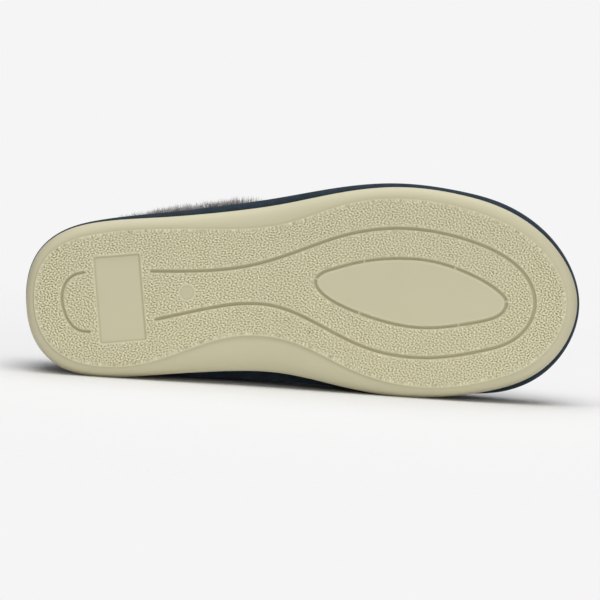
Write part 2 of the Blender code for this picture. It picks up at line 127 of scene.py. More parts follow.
SOLE_SECTIONS = (
    SoleSection(6.0, 24.9, 24.5, 4.8, 5.3, 0.7, -0.2),
    SoleSection(17.0, 34.4, 34.5, 5.5, 5.7, 0.9, -1.2),
    SoleSection(38.0, 40.5, 39.6, 5.8, 5.1, 1.4, -1.8),
    SoleSection(69.0, 42.8, 38.7, 5.9, 7.8, 2.7, 0.8),
    SoleSection(100.0, 45.4, 37.0, 8.6, 16.6, 3.6, 3.8),
    SoleSection(131.0, 49.5, 37.9, 10.2, 17.4, 3.9, 4.4),
    SoleSection(162.0, 55.6, 44.7, 6.6, 10.4, 3.1, 0.5),
    SoleSection(193.0, 58.5, 50.0, 5.9, 6.0, 2.3, -1.8),
    SoleSection(224.0, 54.7, 49.4, 6.3, 4.7, 2.2, -1.3),
    SoleSection(245.0, 48.3, 45.9, 6.5, 5.5, 2.7, 0.8),
    SoleSection(262.0, 38.6, 39.4, 6.2, 5.7, 2.7, 1.8),
    SoleSection(276.0, 24.4, 27.2, 5.9, 5.8, 2.3, 2.1),
)
COLLAR_SECTIONS = (
    CollarSection(20.0, 14.5, 11.5, 61.5),
    CollarSection(34.0, 23.5, 18.0, 59.5),
    CollarSection(55.0, 30.8, 22.6, 57.0),
    CollarSection(80.0, 35.4, 25.8, 57.0),
    CollarSection(105.0, 38.4, 28.9, 61.5),
    CollarSection(125.0, 35.6, 27.0, 72.0),
    CollarSection(137.0, 22.0, 13.5, 79.0),
)
SIDE_RINGS = (
    SideRing(1.00, 1.2, Level.TREAD, 2.2),
    SideRing(1.00, 1.0, Level.TREAD, 1.0),
    SideRing(0.93, 0.0, Level.TREAD, 1.0),
    SideRing(0.60, 0.0, Level.TREAD, 1.5),
    SideRing(0.28, 0.0, Level.TREAD, 3.0),
    SideRing(0.08, 0.0, Level.TREAD, 5.6),
    SideRing(0.00, 0.0, Level.TREAD, 8.5),
    SideRing(0.00, 1.2, Level.TOP, -2.0),
    SideRing(0.00, 2.2, Level.TOP, 0.0),
    SideRing(0.00, 6.0, Level.TOP, 0.0),
    SideRing(0.00, 6.4, Level.TOP, -5.5),
)
LENS_ROUTE = (
    ((149.4, -9.8), (152.7, -13.9), (158.2, -16.0), (168.0, -18.7), (191.0, -21.5), (210.8, -19.8))
    + ((230.6, -12.8), (244.5, -4.2), (248.2, 1.0), (246.6, 6.0), (241.0, 9.5), (230.6, 11.9))
    + ((205.9, 14.4), (186.0, 11.4), (171.1, 6.5), (155.0, -1.6), (151.0, -5.4))
)
LOOP_ROUTE = (
    ((63.6, -15.0), (89.6, -15.1), (115.0, -17.8), (141.4, -25.7), (161.3, -32.6))
    + ((191.0, -37.1), (230.6, -30.2), (248.4, -21.8), (259.4, -10.9), (263.1, 1.0))
    + ((260.3, 11.9), (251.4, 20.9), (235.5, 26.3), (210.8, 29.8), (176.1, 24.9))
    + ((155.0, 14.9), (126.0, 2.7), (113.6, 1.8), (89.6, 5.1), (66.0, 10.2))
)
HEEL_ROUTE = (
    ((29.5, -14.3), (24.0, -12.7), (20.3, -9.1), (18.4, -4.0), (18.3, 1.0))
    + ((19.6, 6.4), (22.5, 12.0), (26.9, 15.5), (32.4, 16.4))
)
NICKS = (
    Nick(149.7, -10.9),
    Nick(174.6, -20.2),
    Nick(221.7, -16.6),
    Nick(248.1, 1.0),
    Nick(223.3, 13.0),
    Nick(172.0, 6.7),
)
CREASES = (
    Crease(176.0, 0.10, 34.0, 0.7, 5.0),
    Crease(190.0, -0.06, 40.0, 0.9, 5.5),
    Crease(206.0, 0.04, 32.0, 0.6, 4.5),
)


def smooth_step(share: Array) -> Array:
    """Ease from 0 to 1 with level ends: three squares less two cubes of the share."""
    share = np.clip(share, 0.0, 1.0)
    return share * share * (3.0 - 2.0 * share)


def fade(distance: Array, start: float, reach: float) -> Array:
    """1 up to a start and 0 from a reach past it: one less the smooth step between."""
    return 1.0 - smooth_step((distance - start) / reach)


def bell(distance: Array, width: float) -> Array:
    """Bell curve: 1 at no distance, falling as the exponential of the squared share of the width."""
    return np.exp(-((distance / width) ** 2))


def unit(vectors: Array) -> Array:
    """Vectors scaled to length 1."""
    return vectors / np.linalg.norm(vectors, axis=-1)[..., None]


def outward(loop: Array) -> Array:
    """Unit normals of a closed loop: the way from the point before to the point after, turned by a quarter.

    Args:
        loop: points, x and y first, that run round with the inside on their left.

    Returns:
        One normal a point, as x and y.
    """
    along = np.roll(loop[:, :2], -1, axis=0) - np.roll(loop[:, :2], 1, axis=0)
    normals = np.stack([along[:, 1], -along[:, 0]], axis=1)
    return normals / np.linalg.norm(normals, axis=1)[:, None]


def spline(knots: Array, closed: bool, fine: int = SPAN_STEPS) -> Array:
    """Cubic spline through knots over chord length, with level bends at open ends.

    Args:
        knots: one row a knot, x and y first; other columns follow along.
        closed: joins the last knot to the first.
        fine: points to a span.

    Returns:
        Dense points, the last knot included.
    """
    if closed:
        knots = np.vstack([knots, knots[:1]])
    count = len(knots)
    steps = np.linalg.norm(np.diff(knots[:, :2], axis=0), axis=1)
    slopes = np.diff(knots, axis=0) / steps[:, None]
    system = np.zeros((count, count))
    right = np.zeros_like(knots)
    for i in range(1, count - 1):
        system[i, i - 1 : i + 2] = steps[i - 1], 2.0 * (steps[i - 1] + steps[i]), steps[i]
        right[i] = 6.0 * (slopes[i] - slopes[i - 1])
    system[0, 0] = 1.0
    if closed:
        system[0, -1] = -1.0
        system[-1, :2] = 2.0 * steps[0], steps[0]
        system[-1, -2:] = steps[-1], 2.0 * steps[-1]
        right[-1] = 6.0 * (slopes[0] - slopes[-1])
    else:
        system[-1, -1] = 1.0
    bends = np.linalg.solve(system, right)
    share = np.linspace(0.0, 1.0, fine, endpoint=False)[None, :, None]
    rest = 1.0 - share
    chord = rest * knots[:-1, None] + share * knots[1:, None]
    bow = (rest**3 - rest) * bends[:-1, None] + (share**3 - share) * bends[1:, None]
    spans = chord + steps[:, None, None] ** 2 / 6.0 * bow
    return np.vstack([spans.reshape(-1, knots.shape[1]), knots[-1:]])


def even_points(points: Array, count: int, keep_end: bool = False) -> Array:
    """Points at equal steps along a dense line.

    Args:
        points: dense points, x and y first.
        count: number of steps.
        keep_end: keeps the line's last point.

    Returns:
        The points, one row each.
    """
    travel = np.concatenate([[0.0], np.cumsum(np.linalg.norm(np.diff(points[:, :2], axis=0), axis=1))])
    wanted = np.linspace(0.0, travel[-1], count + 1)
    if not keep_end:
        wanted = wanted[:-1]
    return np.stack([np.interp(wanted, travel, column) for column in points.T], axis=1)


def rungs_across(ring: Array, across: int) -> Array:
    """Points on straight rungs between the two sides of a ring.

    Args:
        ring: x and y, from one end of the long axis, with as many points on each side.
        across: steps on a rung.

    Returns:
        x and y, rung by rung.
    """
    half = len(ring) // 2
    left = ring[: half + 1]
    right = np.vstack([ring[:1], ring[: half - 1 : -1]])
    share = np.linspace(0.0, 1.0, across + 1)[None, :, None]
    return ((1.0 - share) * left[:, None] + share * right[:, None]).reshape(-1, 2)


@dataclass(frozen=True)
class Trace:
    """Line drawn on the tread as dense, even points, that distances and travel are measured from."""

    points: Array
    closed: bool

    def directions(self) -> Array:
        """Unit way ahead at each point of the line, from the point before to the point after.

        Returns:
            One x and y a point.
        """
        if self.closed:
            return unit(np.roll(self.points, -1, axis=0) - np.roll(self.points, 1, axis=0))
        return unit(np.gradient(self.points, axis=0))

    def measure(self, spots: Array) -> tuple[Array, Array, Array]:
        """Signed distance of each spot from the line, its y part, and the travel along the line up to it.

        The nearest dense point comes first, and the distance is then taken square to the line there, or
        straight to the end past an open end, so that it changes smoothly.

        Args:
            spots: x and y, one row each.

        Returns:
            Distances, positive on the line's left, their parts along y, and travels.
        """
        line = self.points
        steps = np.linalg.norm(np.diff(line, axis=0), axis=1)
        travel = np.concatenate([[0.0], np.cumsum(steps)])
        squares = (line**2).sum(axis=1)
        blocks = np.array_split(spots, 1 + len(spots) // SPOTS_AT_ONCE)
        rank = np.concatenate([(squares - 2.0 * block @ line.T).argmin(axis=1) for block in blocks])
        offset = spots - line[rank]
        ahead = self.directions()[rank]
        along = (offset * ahead).sum(axis=1)
        left = ahead[:, 0] * offset[:, 1] - ahead[:, 1] * offset[:, 0]
        if not self.closed:
            past = ((rank == 0) & (along < 0.0)) | ((rank == len(line) - 1) & (along > 0.0))
            left = np.where(past, np.copysign(np.linalg.norm(offset, axis=1), left), left)
        return left, left * ahead[:, 0], travel[rank] + along


def crumb_noise(
    across: Array, along: Array, wave: float, seed: int, waves: int = 80, slowest: float = 0.22
) -> Array:
    """Even random field: a sum of plane waves, whose rates fill a broad ring evenly, with drawn phases.

    Args:
        across: first coordinate.
        along: second coordinate.
        wave: shortest length of the waves, in the coordinates' unit.
        seed: seed of the draws.
        waves: number of waves.
        slowest: square of the lowest rate, as a share of the highest one's.

    Returns:
        The field, with a spread of about 1.
    """
    draw = np.random.default_rng(seed)
    turns = math.pi * (np.arange(waves) + draw.uniform(0.0, 1.0, waves)) / waves
    phases = draw.uniform(0.0, 2.0 * math.pi, waves)
    rates = 2.0 * math.pi / wave * np.sqrt(draw.uniform(slowest, 1.0, waves))
    field = np.zeros_like(across)
    for turn, phase, rate in zip(turns, phases, rates):
        field += np.cos(rate * (math.cos(turn) * across + math.sin(turn) * along) + phase)
    return field * math.sqrt(2.0 / waves)


@dataclass(frozen=True)
class ShoePose:
    """Lying pose of the shoe: its own frame in millimetres to the floor's frame in metres."""

    turn: Array
    origin: Array

    @classmethod
    def from_record(cls, record: dict, mount: str, spot: tuple[float, float, float]) -> "ShoePose":
        """Pose from one mount on the tread, whose axis points out of the sole.

        The shoe's up is against the axis, and its x has no part along the floor's Y.

        Args:
            record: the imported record.
            mount: the mount's name.
            spot: the mount's place in the shoe's own frame, in millimetres.

        Returns:
            The pose.
        """
        row = next(item for item in record["mounts"] if item["name"] == mount)
        up = -unit(np.array(row["axis"], dtype=float))
        ahead = unit(np.array([-up[2], 0.0, up[0]]))
        turn = np.stack([ahead, np.cross(up, ahead), up], axis=1)
        return cls(turn, np.array(row["pos_m"]) - turn @ np.array(spot) * MM)

    def place(self, points: Array) -> Array:
        """Points of the shoe on the floor, in metres."""
        return points @ self.turn.T * MM + self.origin


TREAD_PAD_SPOT = (191.0, -3.5, 0.0)
POSE = ShoePose.from_record(frame["record"], "tread_pad", TREAD_PAD_SPOT)


@dataclass(frozen=True)
class Last:
    """Form that sole and upper are made on: outlines and heights in millimetres."""

    heel: SoleTip = SoleTip(-0.6, -0.5, 4.2, 0.7)
    toe: SoleTip = SoleTip(285.4, 1.0, 5.7, 1.8)
    toe_break: float = 212.0
    toe_spring: float = 7.0
    heel_break: float = 16.0
    heel_bevel: float = 1.2
    arch_start: float = 72.0
    arch_end: float = 160.0
    arch_lift: float = 1.4
    heel_thickness: float = 20.5
    fore_thickness: float = 15.5
    slope_start: float = 62.0
    slope_end: float = 172.0
    collar_back: tuple[float, float, float] = (13.0, -0.5, 62.0)
    collar_throat: tuple[float, float, float] = (142.0, -5.0, 82.0)

    def toe_lift(self, x: Array) -> Array:
        """Lift towards the toe, growing with the square of the way past the toe's break."""
        past = np.clip((x - self.toe_break) / (self.toe.station - self.toe_break), 0.0, None)
        return self.toe_spring * past**2

    def tread_height(self, x: Array) -> Array:
        """Height of the tread: level under heel and ball, lifted at the arch, the heel's back and the toe.

        The arch's lift is a squared sine, and the lifts at heel and toe are squares of the way past a break.

        Args:
            x: stations.

        Returns:
            Heights.
        """
        heel = self.heel_bevel * np.clip((self.heel_break - x) / self.heel_break, 0.0, None) ** 2
        arch = np.clip((x - self.arch_start) / (self.arch_end - self.arch_start), 0.0, 1.0)
        return self.toe_lift(x) + heel + self.arch_lift * np.sin(math.pi * arch) ** 2

    def top_height(self, x: Array) -> Array:
        """Height of the sole's top edge, falling from the heel to the forefoot."""
        fall = smooth_step((x - self.slope_start) / (self.slope_end - self.slope_start))
        return self.heel_thickness + (self.fore_thickness - self.heel_thickness) * fall + self.toe_lift(x)

    def loop_through(self, start: tuple, lateral: list, turn: tuple, medial: list, half: int) -> Array:
        """Closed loop from start along the lateral rows to turn and back along the medial rows.

        Args:
            start: first knot.
            lateral: knots of the lateral side.
            turn: knot at the far end.
            medial: knots of the medial side, from the start's end.
            half: points on each side.

        Returns:
            The loop's points at even steps on each side.
        """
        dense = spline(np.array([start, *lateral, turn, *reversed(medial)], dtype=float), True)
        split = (len(lateral) + 1) * SPAN_STEPS
        return np.vstack([even_points(dense[: split + 1], half), even_points(dense[split:], half)])

    def sole_loop(self, half: int) -> Array:
        """Sole's edge from above, from the heel along the lateral side to the toe and back.

        Args:
            half: points on each side.

        Returns:
            x, y, rim width and the upper's bulge at each point.
        """
        lateral = [(s.station, -s.lateral, s.lateral_rim, s.lateral_bulge) for s in SOLE_SECTIONS]
        medial = [(s.station, s.medial, s.medial_rim, s.medial_bulge) for s in SOLE_SECTIONS]
        return self.loop_through(self.heel, lateral, self.toe, medial, half)

    def collar_loop(self, half: int) -> Array:
        """Upper's top edge, from the back along the lateral side to the throat and back.

        Args:
            half: points on each side.

        Returns:
            One point a row.
        """
        lateral = [(c.station, -c.lateral, c.height) for c in COLLAR_SECTIONS]
        medial = [(c.station, c.medial, c.height) for c in COLLAR_SECTIONS]
        return self.loop_through(self.collar_back, lateral, self.collar_throat, medial, half)

    def raised_ring(self, loop: Array, inset: Array, height: Callable[[Array], Array]) -> Array:
        """Loop moved in by inset, at the height that the function gives for each x."""
        flat = loop[:, :2] - outward(loop) * np.reshape(inset, (-1, 1))
        return np.column_stack([flat, height(flat[:, 0])])


LAST = Last()


class Loft:
    """Points and faces of one piece, gathered as whole rows and grids."""

    def __init__(self) -> None:
        """Starts with no points and no faces."""
        self.rows: list[Array] = []
        self.faces: list[list[int]] = []
        self.size = 0

    def add_row(self, points: Array) -> Array:
        """Stores a row of points.

        Args:
            points: one point a row.

        Returns:
            The points' indices.
        """
        self.rows.append(points)
        indices = np.arange(self.size, self.size + len(points))
        self.size += len(points)
        return indices

    def add_grid(self, points: Array, closed: bool = False) -> Array:
        """Stores a grid of points, with a quad in each of its cells.

        Args:
            points: the grid's rows, as one array.
            closed: joins the end of each row to its start.

        Returns:
            The points' indices, in the grid's rows.
        """
        index = self.add_row(points.reshape(-1, 3)).reshape(points.shape[:2])
        ring = np.hstack([index, index[:, :1]]) if closed else index
        quads = np.stack([ring[:-1, :-1], ring[:-1, 1:], ring[1:, 1:], ring[1:, :-1]], axis=2)
        self.faces.extend(quads.reshape(-1, 4).tolist())
        return index

    def add_band(self, low: Array, high: Array) -> None:
        """Closed band of quads between two rows of equal length."""
        quads = np.stack([low, np.roll(low, -1), np.roll(high, -1), high], axis=1)
        self.faces.extend(quads.tolist())

    def add_strip(self, low: Array, high: Array) -> None:
        """Open strip of quads between two rows of equal length."""
        quads = np.stack([low[:-1], low[1:], high[1:], high[:-1]], axis=1)
        self.faces.extend(quads.tolist())

    def add_ladder(self, ring: Array) -> None:
        """Closes a ring with one quad between each pair of points that face each other.

        Args:
            ring: indices round the ring, an even number of them.
        """
        half = len(ring) // 2
        left = ring[1:half]
        right = ring[:half:-1]
        self.add_strip(left, right)
        for tip, near in ((0, 0), (half, -1)):
            self.faces.append([int(ring[tip]), int(left[near]), int(right[near])])

    def make(self, name: str, closed: bool = True, relief: Array | None = None) -> bpy.types.Object:
        """Object of the gathered piece, laid in place, with doubled points merged.

        Args:
            name: the piece's name.
            closed: turns the faces outwards.
            relief: hollow-to-top value of each point, stored before the merging.

        Returns:
            The object, linked to the scene.
        """
        mesh = bpy.data.meshes.new(name)
        mesh.from_pydata(POSE.place(np.vstack(self.rows)), [], self.faces)
        if relief is not None:
            paint(mesh, "relief", relief)
        work = bmesh.new()
        work.from_mesh(mesh)
        bmesh.ops.remove_doubles(work, verts=work.verts, dist=WELD)
        if closed:
            bmesh.ops.recalc_face_normals(work, faces=work.faces)
        work.to_mesh(mesh)
        work.free()
        mesh.shade_smooth()
        return link(mesh)


def link(mesh: bpy.types.Mesh) -> bpy.types.Object:
    """Object of a mesh, under the same name, in the scene.

    Args:
        mesh: the mesh.

    Returns:
        The object, at the origin.
    """
    obj = bpy.data.objects.new(mesh.name, mesh)
    bpy.context.scene.collection.objects.link(obj)
    return obj


def paint(mesh: bpy.types.Mesh, name: str, values: Array) -> None:
    """Stores one value a vertex as a named attribute of the mesh."""
    attribute = mesh.attributes.new(name, "FLOAT", "POINT")
    attribute.data.foreach_set("value", np.asarray(values, dtype=np.float32))


def points_of(mesh: bpy.types.Mesh, field: str = "co") -> Array:
    """Places or normals of a mesh's vertices.

    Args:
        mesh: the mesh.
        field: the vertices' property, of three values.

    Returns:
        The values, one row a vertex.
    """
    values = np.empty(len(mesh.vertices) * 3, dtype=np.float32)
    mesh.vertices.foreach_get(field, values)
    return values.reshape(-1, 3).astype(float)


def move_points(mesh: bpy.types.Mesh, points: Array) -> None:
    """Gives a mesh's vertices new places."""
    mesh.vertices.foreach_set("co", points.astype(np.float32).ravel())
    mesh.update()


def linear(code: str) -> tuple[float, float, float, float]:
    """Linear colour of an sRGB value, by the sRGB curve: a straight foot, and a power above it.

    Args:
        code: six hex digits.

    Returns:
        Red, green, blue and a full alpha.
    """
    shares = [int(code[i : i + 2], 16) / 255.0 for i in (0, 2, 4)]
    red, green, blue = [s / 12.92 if s <= 0.04045 else ((s + 0.055) / 1.055) ** 2.4 for s in shares]
    return red, green, blue, 1.0


class Nodes:
    """Node tree of a material or of the sky, filled one node at a time."""

    def __init__(self, owner: bpy.types.Material | bpy.types.World, shader: str = "Principled BSDF") -> None:
        """Takes up the owner's tree.

        Args:
            owner: material or sky that the tree belongs to.
            shader: name of the tree's shader.
        """
        owner.use_nodes = True
        self.tree = owner.node_tree
        self.shader = self.tree.nodes[shader]

    def add(self, kind: str, inputs: dict | None = None, **settings: object) -> bpy.types.Node:
        """Adds a node with its settings, values and links.

        Args:
            kind: the node's type name.
            inputs: socket names or ranks, each with a value or with the socket that feeds it.
            settings: the node's own properties.

        Returns:
            The node.
        """
        node = self.tree.nodes.new(kind)
        for name, value in settings.items():
            setattr(node, name, value)
        self.feed(node, inputs or {})
        return node

    def feed(self, node: bpy.types.Node, inputs: dict) -> None:
        """Sets or links a node's inputs.

        Args:
            node: the node.
            inputs: socket names or ranks, each with a value or with the socket that feeds it.
        """
        for socket, value in inputs.items():
            if isinstance(value, bpy.types.NodeSocket):
                self.tree.links.new(value, node.inputs[socket])
            else:
                node.inputs[socket].default_value = value


@dataclass(frozen=True)
class MouldedRubber:
    """Thermoplastic rubber, injection moulded, in a warm beige."""

    # The hollow colour is painted shade and the top colour painted highlight; the body colour is the rubber's
    # own.
    hollow: str = "938D5F"
    body: str = "C9C3A5"
    top: str = "E8E3BF"
    body_at: float = 0.5
    roughness: float = 0.58
    mottle_mm: float = 34.0
    mottle_low: float = 0.975
    mottle_high: float = 1.025
    grit_mm: float = 0.45
    grit_depth_mm: float = 0.1

    def build(self) -> bpy.types.Material:
        """Colour from the relief attribute with a faint mottle, and a fine moulded grit as bump.

        Returns:
            The material.
        """
        # A moulded skin is matt and a little waxy, with broad weak highlights. The ramp runs from painted
        # shade in the hollows over the body colour to painted highlight on the tops.
        rubber = bpy.data.materials.new("moulded_rubber")
        nodes = Nodes(rubber)
        place = nodes.add("ShaderNodeTexCoord").outputs["Object"]
        relief = nodes.add("ShaderNodeAttribute", attribute_name="relief").outputs["Fac"]
        ramp = nodes.add("ShaderNodeValToRGB", {"Fac": relief})
        ramp.color_ramp.elements[0].color = linear(self.hollow)
        ramp.color_ramp.elements[1].color = linear(self.top)
        middle = ramp.color_ramp.elements.new(self.body_at)
        middle.color = linear(self.body)
        mottle = nodes.add("ShaderNodeTexNoise", {"Vector": place, "Scale": 1.0 / (self.mottle_mm * MM)})
        shade = nodes.add(
            "ShaderNodeMapRange", {0: mottle.outputs["Fac"], 3: self.mottle_low, 4: self.mottle_high}
        )
        tint = nodes.add(
            "ShaderNodeMix",
            {0: 1.0, 6: ramp.outputs["Color"], 7: shade.outputs[0]},
            data_type="RGBA",
            blend_type="MULTIPLY",
        )
        # Real mould grit is about 0.1 mm wide. It is drawn coarser, as coarse as it needs to show.
        grit = nodes.add("ShaderNodeTexNoise", {"Vector": place, "Scale": 1.0 / (self.grit_mm * MM)})
        bump = nodes.add(
            "ShaderNodeBump",
            {"Height": grit.outputs["Fac"], "Strength": 0.2, "Distance": self.grit_depth_mm * MM},
        )
        nodes.feed(
            nodes.shader,
            {
                "Base Color": tint.outputs[2],
                "Roughness": self.roughness,
                "Normal": bump.outputs["Normal"],
                "IOR": 1.5,
                "Specular IOR Level": 0.35,
            },
        )
        return rubber


@dataclass(frozen=True)
class BrushedFelt:
    """Needled wool-mix felt, brushed, in navy."""

    dark: str = "0E141A"
    light: str = "253441"
    nap: str = "8FA6BC"
    fibre_mm: float = 0.7
    fibre_depth_mm: float = 0.5
    fibre_weight: float = 0.7
    cloud_mm: float = 5.0
    dark_at: float = 0.5
    light_at: float = 1.2

    def build(self) -> bpy.types.Material:
        """Colour from fibre noise over soft clouds, with the same fibres as bump and a sheen.

        Returns:
            The material.
        """
        # Brushing raises a short dry nap: there is no highlight, and edges that are seen along it are paler.
        felt = bpy.data.materials.new("brushed_navy_felt")
        nodes = Nodes(felt)
        place = nodes.add("ShaderNodeTexCoord").outputs["Object"]
        # Single fibres are about 0.03 mm thick. They are drawn coarser, as the tufts that they lie in.
        fibre = nodes.add(
            "ShaderNodeTexNoise",
            {"Vector": place, "Scale": 1.0 / (self.fibre_mm * MM), "Detail": 4.0, "Distortion": 0.8},
        )
        cloud = nodes.add(
            "ShaderNodeTexNoise", {"Vector": place, "Scale": 1.0 / (self.cloud_mm * MM), "Detail": 3.0}
        )
        both = nodes.add(
            "ShaderNodeMath",
            {0: fibre.outputs["Fac"], 1: self.fibre_weight, 2: cloud.outputs["Fac"]},
            operation="MULTIPLY_ADD",
        )
        share = nodes.add("ShaderNodeMapRange", {0: both.outputs[0], 1: self.dark_at, 2: self.light_at})
        ramp = nodes.add("ShaderNodeValToRGB", {"Fac": share.outputs[0]})
        ramp.color_ramp.elements[0].color = linear(self.dark)
        ramp.color_ramp.elements[1].color = linear(self.light)
        bump = nodes.add(
            "ShaderNodeBump",
            {"Height": fibre.outputs["Fac"], "Strength": 0.6, "Distance": self.fibre_depth_mm * MM},
        )
        nodes.feed(
            nodes.shader,
            {
                "Base Color": ramp.outputs["Color"],
                "Roughness": 0.95,
                "Specular IOR Level": 0.2,
                "Sheen Weight": 0.15,
                "Sheen Roughness": 0.5,
                "Sheen Tint": linear(self.nap),
                "Normal": bump.outputs["Normal"],
            },
        )
        return felt


@dataclass(frozen=True)
class FurFibre:
    """Acrylic faux fur, a knitted pile of dyed fibres in grey-brown."""

    # The root colour is painted shade deep in the pile.
    root: str = "242428"
    shaft: str = "868483"
    tip: str = "D8D5D2"
    shaft_at: float = 0.55

    def build(self) -> bpy.types.Material:
        """Colour from the fibre's own root-to-tip value, times its drawn shade.

        Returns:
            The material.
        """
        # Each fibre runs from dark at the knit to pale at the tip: the dark roots are painted shade deep in
        # the pile, so that depth shows between the locks.
        fur = bpy.data.materials.new("acrylic_fur_fibre")
        nodes = Nodes(fur)
        rise = nodes.add("ShaderNodeAttribute", attribute_name="rise").outputs["Fac"]
        shade = nodes.add("ShaderNodeAttribute", attribute_name="shade").outputs["Fac"]
        ramp = nodes.add("ShaderNodeValToRGB", {"Fac": rise})
        ramp.color_ramp.elements[0].color = linear(self.root)
        ramp.color_ramp.elements[1].color = linear(self.tip)
        middle = ramp.color_ramp.elements.new(self.shaft_at)
        middle.color = linear(self.shaft)
        tint = nodes.add(
            "ShaderNodeMix",
            {0: 1.0, 6: ramp.outputs["Color"], 7: shade},
            data_type="RGBA",
            blend_type="MULTIPLY",
        )
        nodes.feed(
            nodes.shader,
            {"Base Color": tint.outputs[2], "Roughness": 0.6, "Specular IOR Level": 0.3},
        )
        return fur


@dataclass(frozen=True)
class Fleece:
    """Knitted polyester fleece, sheared and tumbled, in grey."""

    # The dark colour is painted shade between the curls.
    dark: str = "343233"
    light: str = "8A8684"
    curl_mm: float = 2.2
    curl_depth_mm: float = 1.2
    dark_at: float = -0.35
    light_at: float = 0.5

    def build(self) -> bpy.types.Material:
        """Colour and bump from a noise less the cell distance, so that each curl is a soft knob.

        Returns:
            The material.
        """
        # Tumbling rolls the sheared pile into small curls, with no gloss. The colour follows the knobs, pale
        # on them and dark between them: painted shade between the curls.
        fleece = bpy.data.materials.new("tumbled_fleece")
        nodes = Nodes(fleece)
        place = nodes.add("ShaderNodeTexCoord").outputs["Object"]
        stir = nodes.add(
            "ShaderNodeTexNoise",
            {"Vector": place, "Scale": 1.0 / (self.curl_mm * MM), "Detail": 4.0, "Distortion": 1.2},
        )
        curl = nodes.add("ShaderNodeTexVoronoi", {"Vector": place, "Scale": 1.0 / (self.curl_mm * MM)})
        knob = nodes.add(
            "ShaderNodeMath",
            {0: stir.outputs["Fac"], 1: curl.outputs["Distance"]},
            operation="SUBTRACT",
        )
        share = nodes.add("ShaderNodeMapRange", {0: knob.outputs[0], 1: self.dark_at, 2: self.light_at})
        ramp = nodes.add("ShaderNodeValToRGB", {"Fac": share.outputs[0]})
        ramp.color_ramp.elements[0].color = linear(self.dark)
        ramp.color_ramp.elements[1].color = linear(self.light)
        bump = nodes.add(
            "ShaderNodeBump",
            {"Height": share.outputs[0], "Strength": 0.9, "Distance": self.curl_depth_mm * MM},
        )
        nodes.feed(
            nodes.shader,
            {
                "Base Color": ramp.outputs["Color"],
                "Roughness": 0.95,
                "Specular IOR Level": 0.15,
                "Sheen Weight": 0.3,
                "Normal": bump.outputs["Normal"],
            },
        )
        return fleece


@dataclass(frozen=True)
class StudioPaper:
    """Background paper, calendered, matt and nearly white, full near the middle and gone farther out."""

    colour: str = "ECECEC"
    full_to: float = 0.25
    gone_at: float = 0.7

    def build(self) -> bpy.types.Material:
        """Plain matt paper, clear beyond a distance in metres from the floor's middle.

        Returns:
            The material.
        """
        # Matt paper mirrors nothing. It runs out into the lit backdrop, so that no horizon shows.
        paper = bpy.data.materials.new("studio_paper")
        nodes = Nodes(paper)
        place = nodes.add("ShaderNodeTexCoord").outputs["Object"]
        away = nodes.add("ShaderNodeVectorMath", {0: place}, operation="LENGTH")
        cover = nodes.add(
            "ShaderNodeMapRange",
            {0: away.outputs["Value"], 1: self.full_to, 2: self.gone_at, 3: 1.0, 4: 0.0},
            interpolation_type="SMOOTHSTEP",
        )
        nodes.feed(
            nodes.shader,
            {
                "Base Color": linear(self.colour),
                "Roughness": 0.95,
                "Specular IOR Level": 0.0,
                "Alpha": cover.outputs[0],
            },
        )
        return paper


def seat(obj: bpy.types.Object, node: str | None, finish: bpy.types.Material) -> None:
    """Rides a piece on the shoe, gives it its finish and hides the solid that it stands for.

    Args:
        obj: the piece.
        node: solid that it replaces, or none.
        finish: the piece's material.
    """
    obj.data.materials.append(finish)
    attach(obj, ROOT)
    if node:
        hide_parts(node)
    obj.data.calc_loop_triangles()
    LOG.info("%s: %d triangles", obj.name, len(obj.data.loop_triangles))


class TreadEnd(Enum):
    """Half of the tread slab, as the shares of its length that it runs from and to."""

    HEEL = (0.0, 0.5)
    FORE = (0.5, 1.0)


class SoftLine(NamedTuple):
    """Soft line along an edge: its way out from it, its width, and the value and height that it adds; a value
    below 0 is painted shade, above 0 painted highlight.
    """

    out: float
    width: float
    shade: float
    height: float = 0.0

    def across(self, distance: Array) -> Array:
        """Bell across the line, at distances from its edge."""
        return bell(distance - self.out, self.width)


@dataclass(frozen=True)
class Groove:
    """Groove in the tread: its middle line, its width at the mouth and at the foot, and its nicks."""

    trace: Trace
    mouth: float
    foot: float
    nicks: tuple[Nick, ...] = ()


